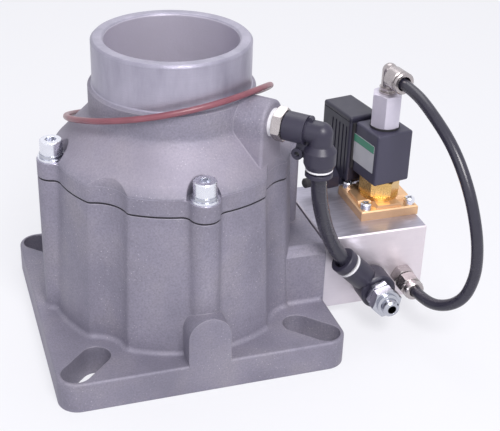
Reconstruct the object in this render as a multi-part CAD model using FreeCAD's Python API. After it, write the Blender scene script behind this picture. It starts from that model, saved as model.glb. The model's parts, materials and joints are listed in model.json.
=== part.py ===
import FreeCAD, Part
import math
import os

# Compressor intake valve with its servo air line and solenoid valve.
# Millimetres and degrees. The origin is the centre of the outlet bore on the underside of the mounting flange,
# +Z runs up the inlet neck, the mounting flange's lug is on the -Y side and the manifold block on the +X side.

# Mounting flange
flange_side = 169.4
flange_thickness = 18.6
flange_corner_radius = 12.0
flange_edge_radius = 1.5
slot_width = 17.4
slot_length = 36.0
slot_offset = 67.0
outlet_radius = 32.5
outlet_depth = 20.0

# Housing wall
housing_height = 104.2
wall_radius = 69.0
wall_draft = 2.7
foot_fillet = 3.0
flute_radius = 20.0
flute_reach = 63.6
cavity_radius = 56.0
cavity_floor = 44.0
lug_half_width = 12.3
lug_height = 48.2
pad_half_width = 40.0
pad_top = 56.5
pad_bevel = 5.0
pad_edge_radius = 2.5

# Servo cylinder inside the housing
servo_bore_radius = 21.0
servo_wall = 5.0
servo_bottom = 27.0
servo_ceiling = 76.0
servo_roof = 8.0
rib_thickness = 10.0
rib_bottom = 40.0
bush_radius = 9.0
bush_flange_radius = 12.0
bush_flange_thickness = 2.0
air_way_radius = 2.5
air_way_height = 46.0
air_riser_reach = 31.0
air_jet_radius = 0.9

# Joint between housing and cover
gasket_thickness = 1.2
gasket_inset = 0.4
bolt_circle_radius = 70.0
column_radius = 8.6
column_blend = 5.0
flute_edge_radius = 4.0
bolt_radius = 4.0
bolt_length = 32.0
bolt_head_radius = 6.5
bolt_head_height = 8.0
bolt_socket_flats = 6.0
bolt_socket_depth = 4.0
bolt_hole_depth = 26.0
socket_head_edge_share = 0.08
washer_radius = 7.9
washer_thickness = 1.6
spring_washer_radius = 7.0
spring_washer_thickness = 2.0
spring_washer_slit = 0.8

# Cover
bolt_seat_height = 9.8
rim_height = 10.6
spot_face_radius = 9.8
cone_height = 23.0
neck_base_radius = 47.5
neck_base_height = 16.4
neck_radius = 45.0
neck_step = 1.5
neck_height = 26.2
neck_edge = 1.2
cone_foot_radius = 1.5
cone_top_radius = 5.0
inlet_radius = 37.7
inlet_edge = 1.0
throat_relief = 1.0
throat_room = 1.1
seat_height = 8.6
seat_ridge_width = 4.0
seat_ridge_height = 4.0
cover_cavity_bevel = 5.0

# Port boss and push-in elbow on the cover
port_azimuth = -45.0
port_rise = 39.1
boss_half_width = 12.4
boss_reach = 64.0
boss_edge_radius = 2.0
port_thread_radius = 6.6
port_thread_length = 12.0
port_way_radius = 4.0

# Valve disc, stem and piston
stroke = 16.0
seat_gap = 0.1
disc_radius = 44.0
disc_thickness = 7.5
disc_rim_thickness = 4.5
disc_hub_radius = 13.0
disc_hub_slope = 4.0
disc_hub_step = 1.0
disc_seal_inner_radius = 35.0
disc_seal_outer_radius = 43.0
disc_seal_thickness = 3.4
disc_seal_proud = 1.4
disc_seal_lip = 0.6
stem_radius = 6.0
stem_thread_radius = 4.0
stem_thread_proud = 2.0
stem_edge = 0.6
stem_nut_flats = 13.0
stem_nut_height = 6.5
stem_nut_edge = 1.0
piston_height = 14.0
piston_top_gap = 2.0
piston_seal_width = 4.0
piston_seal_depth = 2.4
piston_pocket_depth = 6.0
piston_pocket_inner_radius = 10.5
piston_pocket_outer_radius = 17.5
cap_thickness = 5.0
cap_seal_radius = 1.0
cap_seal_squeeze = 0.8
cap_edge = 0.5
circlip_thickness = 1.4
circlip_groove = 1.3
circlip_reach = 2.0
circlip_gap = 6.0
circlip_room = 0.1
return_spring_radius = 14.0
return_spring_wire = 1.1
return_spring_turns = 6

# Loose sealing ring, slung over the neck and hanging down behind the cover
ring_thickness = 3.5
ring_front_gap = 2.2
ring_back_gap = 6.7
ring_oval = 4.4
ring_oval_azimuth = 75.0
ring_centre_x = 2.2
ring_low_azimuth = 95.8
ring_hang = 12.0
ring_boss_gap = 1.2
ring_boss_azimuth = -60.0
ring_sag = 3.2
ring_sag_azimuth = 148.5
ring_corners = 21

# Manifold block
block_length = 68.0
block_half_depth = 34.5
block_bottom = 8.0
block_top = 57.5
block_edge = 0.8
manifold_gasket_thickness = 1.0
manifold_gasket_margin = 6.0
manifold_gasket_edge = 1.0
manifold_screw_radius = 3.0
manifold_screw_head_radius = 5.0
manifold_screw_head_height = 6.0
manifold_screw_bite = 14.0
manifold_screw_front_y = -27.0
manifold_screw_front_z = 46.0
manifold_screw_back_y = 27.0
manifold_screw_back_z = 32.0
manifold_screw_recess = 1.0
manifold_screw_flats = 5.0
manifold_screw_socket_depth = 3.0
port_row_height = 24.5
gallery_offset = 6.0

# Banjo fitting on the block
banjo_inset = 31.3
banjo_washer_radius = 7.4
banjo_washer_thickness = 1.0
banjo_ring_radius = 11.2
banjo_ring_width = 15.0
banjo_bolt_radius = 5.0
banjo_bolt_bite = 12.0
banjo_collar_flats = 16.0
banjo_collar_width = 4.5
banjo_collar_edge = 0.8
banjo_groove_radius = 7.2
banjo_groove_width = 1.0
banjo_hexagon_flats = 17.0
banjo_hexagon_width = 6.6
banjo_hexagon_edge = 1.4
banjo_nose_radius = 5.2
banjo_nose_length = 6.9
banjo_way_radius = 2.7
banjo_cross_radius = 1.8
banjo_step_width = 1.6
banjo_step_length = 1.2
banjo_step_slope = 0.6
banjo_nose_edge = 1.0
banjo_edge = 0.8
banjo_room = 1.4
banjo_foot_margin = 2.0
banjo_foot_slope = 3.0
banjo_barrel_reach = 26.2
banjo_barrel_radius = 8.2
banjo_socket_stop = 12.0
banjo_pitch = 45.0
banjo_turn = 15.0

# Push-in elbow
elbow_seal_radius = 8.0
elbow_seal_thickness = 2.4
elbow_hexagon_flats = 17.0
elbow_hexagon_width = 5.6
elbow_hexagon_edge = 1.0
elbow_sleeve_radius = 8.2
elbow_sleeve_taper = 0.5
elbow_sleeve_length = 12.9
elbow_spigot_radius = 6.2
elbow_spigot_length = 9.0
elbow_body_radius = 6.4
elbow_skirt_radius = 8.9
elbow_bend_length = 8.1
elbow_skirt_drop = 9.9
elbow_skirt_flare = 3.4
elbow_skirt_length = 7.6
elbow_skirt_taper = 2.9
elbow_socket_stop = 13.5
elbow_mouth_radius = 7.6
seam_nub_length = 3.4
seam_nub_radius = 1.6
seam_nub_rise = 2.0
eyelet_setback = 12.5
eyelet_drop = 14.2
eyelet_radius = 3.4
eyelet_hole_radius = 1.5
eyelet_length = 6.0
eyelet_web = 4.0

# Sockets and release collets of the push-in fittings
mouth_ring_width = 1.3
mouth_ring_edge = 0.26
collet_gap = 1.1
collet_sleeve = 1.2
collet_slit = 0.8
collet_slit_length = 5.0
collet_edge = 0.6
collet_flare = 0.9
socket_wall_step = 2.0
tube_seal_width = 2.4
elbow_collet_radius = 7.7
elbow_collet_width = 2.8
banjo_collet_radius = 8.3
banjo_collet_width = 5.2

# Compression fitting on the block
compression_inset = 53.3
compression_thread_radius = 4.9
compression_thread_length = 8.0
compression_body_flats = 13.0
compression_body_width = 7.6
compression_neck_radius = 4.8
compression_neck_width = 1.0
compression_nut_flats = 13.0
compression_nut_width = 8.2
compression_nose_radius = 6.1
compression_nose_width = 4.6
compression_nose_edge = 0.8
compression_bite = 4.0
compression_body_turn = 59.0
compression_nut_turn = 8.0
compression_edge = 0.9
ferrule_length = 3.0
ferrule_nose = 1.0
ferrule_tip = 0.5
tube_bore_inset = 1.1

# Solenoid valve
valve_inset = 49.1
valve_turn = 10.0
plate_side = 38.4
plate_thickness = 6.2
plate_edge = 0.8
plate_cross_height = 2.0
plate_cross_width = 15.0
plate_cross_slope = 1.2
plate_cross_margin = 2.0
plate_bore_radius = 8.0
plate_seal_radius = 12.0
plate_seal_wire = 1.2
plate_seal_squeeze = 0.9
plate_screw_offset = 14.7
plate_screw_radius = 2.0
plate_screw_bite = 9.0
plate_screw_head_radius = 3.4
plate_screw_head_height = 4.2
plate_screw_head_edge = 0.8
plate_screw_slot_length = 4.4
plate_screw_slot_width = 0.9
plate_screw_slot_depth = 1.6
plate_screw_slot_turn = 25.0
nut_foot_radius = 12.3
nut_foot_height = 1.8
nut_flats = 22.0
nut_height = 10.2
nut_turn = 42.0
nut_edge = 1.2
nut_spigot_depth = 5.0
nut_throat_step = 2.4
tube_foot_drop = 1.6
coil_gap = 0.3
tube_radius = 6.5
tube_bore_radius = 5.25
tube_flange_radius = 7.6
tube_flange_height = 3.0
core_length = 14.0
plunger_travel = 1.8
plunger_edge = 0.6
plunger_pocket_depth = 8.0
plunger_groove_width = 1.2
plunger_groove_depth = 0.7
vent_radius = 1.2
plunger_length = 22.0
plunger_spring_radius = 2.7
plunger_spring_wire = 0.35
plunger_spring_turns = 6
plunger_spring_room = 0.2
seat_nozzle_radius = 2.2
coil_side = 25.6
coil_height = 34.0
coil_edge = 1.5
standoff_washer_radius = 9.2
standoff_washer_thickness = 1.2
standoff_flats = 17.0
standoff_height = 21.3
standoff_turn = 4.0
standoff_stud_radius = 5.0
standoff_stud_length = 10.0
standoff_edge = 1.3
standoff_way_radius = 1.6

# Connector on the coil
connector_gasket_thickness = 1.4
connector_width = 20.8
connector_shift = -5.3
connector_depth = 32.5
connector_rise = 2.3
connector_height = 45.0
connector_edge = 1.6
connector_lid = 3.4
connector_seam = 0.5
connector_rib_count = 5
connector_rib_depth = 0.7
connector_rib_pitch = 4.0625
connector_rib_start = 3.25
connector_rib_width = 1.354167
gland_block_drop = 9.0
gland_block_front = 6.6
gland_block_length = 14.8
gland_thread_radius = 5.6
gland_nut_flats = 13.0
gland_nut_width = 9.0
gland_sleeve_radius = 4.2
gland_tip_radius = 3.2
gland_sleeve_length = 14.0
gland_bite = 6.0
connector_foot = 4.0
connector_screw_drop = 14.0
connector_screw_sink = 0.5
connector_screw_slot = 0.8
gland_nut_edge = 1.0
gland_sleeve_neck = 1.5
gland_sleeve_slope = 2.5
gland_tip_edge = 0.8
gland_rise = 2.0
connector_screw_radius = 1.5
connector_screw_head_radius = 3.0
connector_screw_head_height = 2.0

# Top elbow on the standoff
top_elbow_azimuth = -82.3
top_elbow_rise = 11.5
top_thread_radius = 4.6
top_thread_length = 7.0
top_thread_room = 0.6
top_foot_radius = 5.0
top_foot_lip = 0.5
top_foot_height = 5.0
top_foot_groove = 0.6
top_post_radius = 4.6
top_dome_rise = 2.6
top_way_radius = 1.4
top_barrel_bevel = 1.5
top_barrel_edge = 0.6
top_barrel_radius = 6.8
top_barrel_start = 3.0
top_barrel_length = 10.6
top_barrel_stop = 5.0
top_collet_width = 2.0
top_collet_radius = 6.8

# Tubes and running fits
servo_tube_radius = 4.5
solenoid_tube_radius = 3.5
thread_gap = 0.05
sliding_gap = 0.05
hole_gap = 0.4
hexagon_slope = 0.58
spring_end_gap = 0.05
cut_room = 1.0
tube_arc_share = 0.45

# Route of the servo tube, from the elbow's socket to the banjo's socket
servo_tube_route = [
    (65.76, -65.76, 131.0),
    (65.76, -65.76, 113.5),
    (71.5, -58.8, 93.0),
    (80.5, -49.5, 70.5),
    (92.96, -43.0, 48.54),
    (108.51, -43.0, 32.99),
]

# Route of the solenoid tube, from the compression fitting to the top elbow
solenoid_tube_route = [
    (139.0, -42.5, 24.5),
    (139.0, -60.0, 24.5),
    (143.6, -77.2, 26.2),
    (152.2, -89.5, 36.5),
    (156.2, -93.0, 54.0),
    (154.6, -94.8, 72.0),
    (151.8, -93.0, 90.0),
    (149.0, -84.5, 109.5),
    (145.4, -68.5, 128.0),
    (140.6, -47.0, 140.6),
    (138.4, -26.5, 146.0),
    (135.47, -4.96, 146.0),
]

# Sizes that follow from the ones above
UP = FreeCAD.Vector(0, 0, 1)
DOWN = FreeCAD.Vector(0, 0, -1)
OUT_FRONT = FreeCAD.Vector(0, -1, 0)
flange_half = flange_side / 2
draft_slope = math.tan(math.radians(wall_draft))
foot_radius = wall_radius + (housing_height - flange_thickness) * draft_slope
cover_bottom = housing_height + gasket_thickness
bolt_seat = cover_bottom + bolt_seat_height
rim_top = cover_bottom + rim_height
cone_top = rim_top + cone_height
neck_shoulder = cone_top + neck_base_height
neck_top = neck_shoulder + neck_height
seat_level = cover_bottom + seat_height
port_height = cover_bottom + port_rise
disc_top = seat_level - seat_gap - disc_seal_proud
stem_end = disc_top + stem_nut_height + stem_thread_proud
throat_top = stem_end + throat_room
disc_bottom = disc_top - disc_thickness
piston_top = servo_ceiling - piston_top_gap
piston_bottom = piston_top - piston_height
cap_bottom = servo_bottom + circlip_groove + circlip_thickness
cap_top = cap_bottom + cap_thickness
servo_outer_radius = servo_bore_radius + servo_wall
block_left = flange_half + manifold_gasket_thickness
block_right = block_left + block_length
banjo_x = block_left + banjo_inset
compression_x = block_left + compression_inset
valve_x = block_left + valve_inset
plate_top = block_top + plate_thickness
cross_top = plate_top + plate_cross_height
nut_bottom = cross_top + nut_foot_height
coil_bottom = nut_bottom + nut_height + coil_gap
coil_top = coil_bottom + coil_height
standoff_bottom = coil_top + standoff_washer_thickness
standoff_top = standoff_bottom + standoff_height
top_elbow_height = standoff_top + top_elbow_rise


def vector(x, y, z=0.0):
    return FreeCAD.Vector(x, y, z)


def polar(radius, azimuth, height=0.0):
    """Point at a radius and azimuth about the neck's axis."""
    angle = math.radians(azimuth)
    return vector(radius * math.cos(angle), radius * math.sin(angle), height)


def placed(shape, start, direction=UP, turn=0.0):
    """Shape drawn along +Z from the origin, turned about its own axis and set along a direction."""
    shape = shape.copy()
    shape.rotate(vector(0, 0, 0), UP, turn)
    shape.Placement = FreeCAD.Placement(start, FreeCAD.Rotation(UP, direction)).multiply(shape.Placement)
    return shape


def rod(radius, length, start=vector(0, 0, 0), direction=UP):
    return placed(Part.makeCylinder(radius, length), start, direction)


def sleeve(outer, inner, length, start=vector(0, 0, 0), direction=UP):
    return placed(Part.makeCylinder(outer, length).cut(Part.makeCylinder(inner, length)), start, direction)


def turned(profile, start=vector(0, 0, 0), direction=UP):
    """Solid of revolution from (radius, height) points, drawn about Z."""
    points = [vector(radius, 0, height) for radius, height in profile]
    solid = Part.Face(Part.makePolygon(points + points[:1])).revolve(vector(0, 0, 0), UP, 360)
    return placed(solid, start, direction)


def hexagon(flats, length, start=vector(0, 0, 0), direction=UP, turn=0.0, chamfer=0.0):
    """Hexagonal prism, with both ends' corners turned off when a chamfer is given."""
    corner = flats / math.sqrt(3)
    points = [polar(corner, 60 * k) for k in range(7)]
    prism = Part.Face(Part.makePolygon(points)).extrude(vector(0, 0, length))
    if chamfer:
        rise = chamfer * hexagon_slope
        blank = turned([(0, 0), (corner - chamfer, 0), (corner, rise), (corner, length - rise),
                        (corner - chamfer, length), (0, length)])
        prism = prism.common(blank)
    return placed(prism, start, direction, turn)


def box(low_x, high_x, low_y, high_y, low_z, high_z):
    return Part.makeBox(high_x - low_x, high_y - low_y, high_z - low_z, vector(low_x, low_y, low_z))


def edges_along(shape, direction):
    """Straight edges that run along a direction."""
    found = []
    for edge in shape.Edges:
        if isinstance(edge.Curve, Part.Line) and abs(abs(edge.Curve.Direction.dot(direction)) - 1) < 1e-6:
            found.append(edge)
    return found


def corner_edges(shape, low, high):
    """Upright or leaning edges between two faces that run from one height to another."""
    found = []
    for edge in shape.Edges:
        spans = edge.BoundBox.ZMin < low + 1e-3 and edge.BoundBox.ZMax > high - 1e-3
        if spans and len(shape.ancestorsOfType(edge, Part.Face)) == 2:
            found.append(edge)
    return found


def edges_near(edges, azimuths, reach):
    """Those of the edges whose middle lies near one of the azimuths."""
    found = []
    for edge in edges:
        azimuth = math.degrees(math.atan2(edge.CenterOfMass.y, edge.CenterOfMass.x))
        if min(abs((azimuth - centre + 180) % 360 - 180) for centre in azimuths) < reach:
            found.append(edge)
    return found


def round_edges_at(shape, height):
    """Full circles that lie at a height."""
    found = []
    for edge in shape.Edges:
        low, high = edge.BoundBox.ZMin, edge.BoundBox.ZMax
        if edge.Closed and abs(low - height) < 1e-4 and abs(high - height) < 1e-4 and edge.Length > 1:
            found.append(edge)
    return found


def coil_spring(radius, wire, height, turns, start, direction=UP):
    """Helical wire between two planes, its ends cut back to stand clear of both."""
    pitch = (height - 2 * wire) / turns
    helix = Part.makeHelix(pitch, pitch * turns, radius)
    section = Part.Wire(Part.Circle(vector(radius, 0, 0), vector(0, 1, 0), wire).toShape())
    spring = Part.Wire(helix).makePipeShell([section], True, True)
    return placed(spring, start + direction * wire, direction)


def tube_along(route, radius, name):
    """Round tube on straight runs joined by tangent arcs, each as large as its runs allow."""
    points = [vector(*point) for point in route]
    edges = []
    here = points[0]
    radii = []
    for before, corner, after in zip(points, points[1:], points[2:]):
        run_in, run_out = corner - before, after - corner
        shorter = min(run_in.Length, run_out.Length)
        turn = run_in.getAngle(run_out)
        cut = tube_arc_share * shorter
        arc_radius = cut / math.tan(turn / 2)
        radii.append(arc_radius)
        toward, onward = vector(*run_in).normalize(), vector(*run_out).normalize()
        arc_start, arc_end = corner - toward * cut, corner + onward * cut
        inward = (onward - toward).normalize()
        middle = corner + inward * (arc_radius / math.cos(turn / 2) - arc_radius)
        edges.append(Part.LineSegment(here, arc_start).toShape())
        edges.append(Part.Arc(arc_start, middle, arc_end).toShape())
        here = arc_end
    edges.append(Part.LineSegment(here, points[-1]).toShape())
    path = Part.Wire(edges)
    section = Part.Wire(Part.Circle(points[0], points[1] - points[0], radius).toShape())
    solid = path.makePipeShell([section], True, False)
    expected = math.pi * radius * radius * path.Length
    print(name, "length", round(path.Length, 1), "radii", [round(value) for value in radii],
          "volume over section times length", round(solid.Volume / expected, 4))
    return solid


# The scalloped outline that housing, gasket and cover share
flute_centre = flute_reach + flute_radius
column_azimuths = [0, 90, 180, 270]
flute_azimuths = [45, 135, 225, 315]
column_reach = 15
wall_seam_azimuth = 25
flute_half_angle = math.degrees(math.acos((wall_radius ** 2 + flute_centre ** 2 - flute_radius ** 2)
                                          / (2 * wall_radius * flute_centre)))


def bolt_points(height):
    return [polar(bolt_circle_radius, azimuth, height) for azimuth in column_azimuths]


def with_columns(wall, bottom, height, inset=0.0):
    """Adds the four bolt columns to a wall, each with its seam turned inwards."""
    for azimuth in column_azimuths:
        column = rod(column_radius - inset, height)
        column.rotate(vector(0, 0, 0), UP, azimuth + 180)
        column.translate(polar(bolt_circle_radius, azimuth, bottom))
        wall = wall.fuse(column)
    return wall


def with_soft_corners(wall, low, high):
    """Blends the bolt columns into the wall and rounds the flutes' edges."""
    columns = edges_near(corner_edges(wall, low, high), column_azimuths, column_reach)
    wall = wall.makeFillet(column_blend, columns)
    crests = [edge for edge in edges_near(corner_edges(wall, low, high), flute_azimuths, flute_half_angle + 2)
              if math.hypot(edge.CenterOfMass.x, edge.CenterOfMass.y) > wall_radius - 1]
    return wall.makeFillet(flute_edge_radius, crests)


def scalloped_prism(bottom, height, inset=0.0):
    """Round wall with four bolt columns and four hollow flutes."""
    solid = rod(wall_radius - inset, height, vector(0, 0, bottom))
    solid.rotate(vector(0, 0, 0), UP, wall_seam_azimuth)
    for azimuth in flute_azimuths:
        solid = solid.cut(rod(flute_radius + inset, height, polar(flute_centre, azimuth, bottom)))
    solid = with_columns(solid, bottom, height, inset)
    return with_soft_corners(solid, bottom, bottom + height)


# Housing
def rounded_flange():
    slab = box(-flange_half, flange_half, -flange_half, flange_half, 0, flange_thickness)
    slab = slab.makeFillet(flange_corner_radius, edges_along(slab, UP))
    top_edges = [edge for edge in slab.Edges if edge.BoundBox.ZMin > flange_thickness - 1e-4]
    return slab.makeFillet(flange_edge_radius, top_edges)


def diagonal_slot(sign_x, sign_y):
    """Slot through the flange, drawn out along the diagonal."""
    half_straight = (slot_length - slot_width) / 2
    centre = vector(sign_x * slot_offset, sign_y * slot_offset)
    diagonal = vector(sign_x, sign_y).normalize()
    across = vector(-sign_y, sign_x).normalize() * (slot_width / 2)
    near, far = centre - diagonal * half_straight, centre + diagonal * half_straight
    corners = [near + across, far + across, far - across, near - across, near + across]
    slot = Part.Face(Part.makePolygon(corners)).extrude(UP * flange_thickness)
    for end in (near, far):
        slot = slot.fuse(rod(slot_width / 2, flange_thickness, end))
    return slot


def housing_shell():
    """Drafted wall with its columns and flutes, blended into the flange."""
    wall_height = housing_height - flange_thickness
    wall = Part.makeCone(foot_radius, wall_radius, wall_height, vector(0, 0, flange_thickness))
    wall.rotate(vector(0, 0, 0), UP, wall_seam_azimuth)
    for azimuth in flute_azimuths:
        low = polar(flute_centre + housing_height * draft_slope, azimuth)
        high = polar(flute_centre, azimuth, housing_height)
        lean = (high - low).normalize()
        wall = wall.cut(rod(flute_radius, (high - low).Length + 2 * flute_edge_radius,
                            low - lean * flute_edge_radius, lean))
    wall = with_columns(wall, flange_thickness, wall_height)
    wall = with_soft_corners(wall, flange_thickness, housing_height)
    shell = rounded_flange().fuse(wall)
    reach = bolt_circle_radius + column_radius + 1
    foot = []
    for edge in shell.Edges:
        bounds = edge.BoundBox
        level = abs(bounds.ZMin - flange_thickness) < 1e-3 and abs(bounds.ZMax - flange_thickness) < 1e-3
        if level and max(bounds.XMax, bounds.YMax, -bounds.XMin, -bounds.YMin) < reach:
            foot.append(edge)
    return shell.makeFillet(foot_fillet, foot)


def front_lug():
    """Half-round lug that stands on the flange's front edge, under the front bolt column."""
    arch = lug_height - lug_half_width
    back = -bolt_circle_radius
    body = box(-lug_half_width, lug_half_width, -flange_half, back, flange_thickness / 2, arch)
    return body.fuse(rod(lug_half_width, back + flange_half, vector(0, -flange_half, arch), vector(0, 1, 0)))


def foot_strip(start, end, outward):
    """Hollow quarter-round strip along the foot of a straight upright face."""
    along = end - start
    corner = start + outward * foot_fillet + UP * foot_fillet
    square = [start, start + outward * foot_fillet, corner, start + UP * foot_fillet, start]
    strip = Part.Face(Part.makePolygon(square)).extrude(along)
    return strip.cut(rod(foot_fillet, along.Length, corner, along))


def side_pad():
    """Flat pad that carries the manifold block."""
    inner = cavity_radius - 4
    outline = [
        vector(inner, -pad_half_width, flange_thickness / 2),
        vector(inner, pad_half_width, flange_thickness / 2),
        vector(inner, pad_half_width, pad_top - pad_bevel),
        vector(inner, pad_half_width - pad_bevel, pad_top),
        vector(inner, pad_bevel - pad_half_width, pad_top),
        vector(inner, -pad_half_width, pad_top - pad_bevel),
    ]
    pad = Part.Face(Part.makePolygon(outline + outline[:1])).extrude(vector(flange_half - inner, 0, 0))
    for side in (-1, 1):
        start = vector(inner, side * pad_half_width, flange_thickness)
        end = vector(flange_half - flange_edge_radius, side * pad_half_width, flange_thickness)
        pad = pad.fuse(foot_strip(start, end, vector(0, side, 0)))
    return pad


def servo_cylinder():
    """Cylinder on four ribs, open below, with the guide bush's bore in its roof."""
    roof_top = servo_ceiling + servo_roof
    cylinder = rod(servo_outer_radius, roof_top - servo_bottom, vector(0, 0, servo_bottom))
    reach = cavity_radius + 2
    for azimuth in column_azimuths:
        rib = box(0, reach, -rib_thickness / 2, rib_thickness / 2, rib_bottom, servo_ceiling)
        rib.rotate(vector(0, 0, 0), UP, azimuth)
        cylinder = cylinder.fuse(rib)
    cylinder = cylinder.cut(rod(servo_bore_radius, servo_ceiling - servo_bottom, vector(0, 0, servo_bottom)))
    groove = rod(servo_bore_radius + circlip_groove, circlip_thickness + thread_gap * 2,
                 vector(0, 0, servo_bottom + circlip_groove - thread_gap))
    return cylinder.cut(groove).cut(rod(bush_radius, servo_roof, vector(0, 0, servo_ceiling)))


def manifold_screw_points(x):
    return [vector(x, manifold_screw_front_y, manifold_screw_front_z),
            vector(x, manifold_screw_back_y, manifold_screw_back_z)]


def make_housing():
    housing = housing_shell().fuse(front_lug()).fuse(side_pad())
    room = turned([(0, 0), (outlet_radius, 0), (outlet_radius, outlet_depth), (cavity_radius, cavity_floor),
                   (cavity_radius, housing_height), (0, housing_height)])
    housing = housing.cut(room).fuse(servo_cylinder())
    for sign_x in (-1, 1):
        for sign_y in (-1, 1):
            housing = housing.cut(diagonal_slot(sign_x, sign_y))
    for point in bolt_points(housing_height):
        housing = housing.cut(rod(bolt_radius + thread_gap, bolt_hole_depth, point, DOWN))
    for point in manifold_screw_points(flange_half):
        housing = housing.cut(rod(manifold_screw_radius + thread_gap, manifold_screw_bite + 2 * cut_room, point,
                                  vector(-1, 0, 0)))
    way = rod(air_way_radius, flange_half - air_riser_reach + air_way_radius, vector(flange_half, 0, air_way_height),
              vector(-1, 0, 0))
    jet_height = piston_top + piston_top_gap / 2
    riser = rod(air_way_radius, jet_height - air_way_height, vector(air_riser_reach, 0, air_way_height))
    jet = rod(air_jet_radius, air_riser_reach - servo_bore_radius + cut_room, vector(air_riser_reach, 0, jet_height),
              vector(-1, 0, 0))
    return housing.cut(way).cut(riser).cut(jet).removeSplitter()


# Port on the cover
port_outward = polar(1, port_azimuth)


def port_point(reach, height=port_height):
    """Point in the elbow's upright plane."""
    return port_outward * reach + UP * height


# Gasket and cover
def make_body_gasket():
    gasket = scalloped_prism(housing_height, gasket_thickness, gasket_inset)
    gasket = gasket.cut(rod(cavity_radius, gasket_thickness, vector(0, 0, housing_height)))
    for point in bolt_points(housing_height):
        gasket = gasket.cut(rod(bolt_radius + hole_gap, gasket_thickness, point))
    return gasket


def cover_blank():
    """Rim, cone and neck in one turned form, with the flutes, bolt columns and spot faces."""
    blank = turned([(0, cover_bottom), (wall_radius, cover_bottom), (wall_radius, rim_top),
                    (neck_base_radius, cone_top), (neck_base_radius, neck_shoulder - neck_step),
                    (neck_radius, neck_shoulder), (neck_radius, neck_top - neck_edge),
                    (neck_radius - neck_edge, neck_top), (0, neck_top)])
    blank = blank.makeFillet(cone_top_radius, round_edges_at(blank, cone_top))
    blank = blank.makeFillet(cone_foot_radius, round_edges_at(blank, rim_top))
    outline = scalloped_prism(cover_bottom, neck_top - cover_bottom)
    blank = blank.common(outline).fuse(scalloped_prism(cover_bottom, bolt_seat_height))
    for point in bolt_points(bolt_seat):
        blank = blank.cut(rod(spot_face_radius, cone_height, point))
    return blank


def port_boss():
    """Arched boss that carries the elbow, from inside the neck to its seat."""
    inner = inlet_radius
    length = boss_reach - inner
    block = box(inner, boss_reach, -boss_half_width, boss_half_width, cover_bottom, port_height)
    block = block.fuse(rod(boss_half_width, length, vector(inner, 0, port_height), vector(1, 0, 0)))
    block = block.removeSplitter()
    seat_edges = [edge for edge in block.Edges if edge.BoundBox.XMin > boss_reach - 1e-4
                  and edge.BoundBox.ZMax > cover_bottom + 1]
    block = block.makeFillet(boss_edge_radius, seat_edges)
    block.rotate(vector(0, 0, 0), UP, port_azimuth)
    return block


def make_cover():
    cover = cover_blank().fuse(port_boss())
    # the lathe that turns the neck also clears the boss's top, down to the shoulder
    cover = cover.cut(sleeve(neck_base_radius, neck_radius, neck_height, vector(0, 0, neck_shoulder)))
    ridge_outer = inlet_radius + seat_ridge_width
    throat_radius = inlet_radius + throat_relief
    room_top = seat_level + seat_ridge_height
    room = turned([(0, cover_bottom), (cavity_radius, cover_bottom), (cavity_radius, room_top - cover_cavity_bevel),
                   (cavity_radius - cover_cavity_bevel, room_top), (ridge_outer, room_top), (ridge_outer, seat_level),
                   (throat_radius, seat_level), (throat_radius, throat_top - throat_relief),
                   (inlet_radius, throat_top), (inlet_radius, neck_top - inlet_edge),
                   (inlet_radius + inlet_edge, neck_top), (0, neck_top)])
    cover = cover.cut(room)
    for point in bolt_points(cover_bottom):
        cover = cover.cut(rod(bolt_radius + hole_gap, bolt_seat_height, point))
    port = port_point(boss_reach)
    cover = cover.cut(rod(port_thread_radius + thread_gap, port_thread_length + cut_room, port, port_outward * -1))
    cover = cover.cut(rod(port_way_radius, boss_reach - inlet_radius + 2 * cut_room, port, port_outward * -1))
    return cover.removeSplitter()


# Bolts, washers and screws
def socket_screw(radius, length, head_radius, head_height, flats, depth, seat, direction):
    """Socket head screw whose head stands on a seat; direction points from the seat to the head."""
    edge = head_radius * socket_head_edge_share
    head = turned([(0, 0), (head_radius, 0), (head_radius, head_height - edge), (head_radius - edge, head_height),
                   (0, head_height)])
    screw = head.fuse(rod(radius, length, vector(0, 0, 0), DOWN))
    screw = screw.cut(hexagon(flats, depth, vector(0, 0, head_height - depth)))
    return placed(screw, seat, direction)


def make_cover_bolts():
    under_head = bolt_seat + washer_thickness + spring_washer_thickness
    return [socket_screw(bolt_radius, bolt_length, bolt_head_radius, bolt_head_height, bolt_socket_flats,
                         bolt_socket_depth, point, UP) for point in bolt_points(under_head)]


def make_cover_washers():
    return [sleeve(washer_radius, bolt_radius + hole_gap / 2, washer_thickness, point)
            for point in bolt_points(bolt_seat)]


def make_cover_spring_washers():
    """Split washers, each with its slanting cut."""
    washers = []
    for point in bolt_points(bolt_seat + washer_thickness):
        washer = sleeve(spring_washer_radius, bolt_radius + hole_gap / 2, spring_washer_thickness, point)
        gap = box(bolt_radius, spring_washer_radius + cut_room, -spring_washer_slit / 2, spring_washer_slit / 2, 0,
                  spring_washer_thickness)
        gap.translate(point)
        washers.append(washer.cut(gap))
    return washers


# Valve disc, stem, servo piston and spring
def make_valve_disc():
    seal_floor = disc_top + disc_seal_proud - disc_seal_thickness
    rim_bottom = disc_top - disc_rim_thickness
    bore = stem_thread_radius + thread_gap
    return turned([(bore, disc_bottom), (disc_hub_radius, disc_bottom),
                   (disc_hub_radius + disc_hub_slope, rim_bottom - disc_hub_step),
                   (disc_radius, rim_bottom), (disc_radius, disc_top - disc_seal_lip),
                   (disc_seal_outer_radius, disc_top - disc_seal_lip),
                   (disc_seal_outer_radius, seal_floor), (disc_seal_inner_radius, seal_floor),
                   (disc_seal_inner_radius, disc_top), (bore, disc_top)])


def make_disc_seal():
    seal_floor = disc_top + disc_seal_proud - disc_seal_thickness
    return sleeve(disc_seal_outer_radius, disc_seal_inner_radius, disc_seal_thickness, vector(0, 0, seal_floor))


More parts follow.
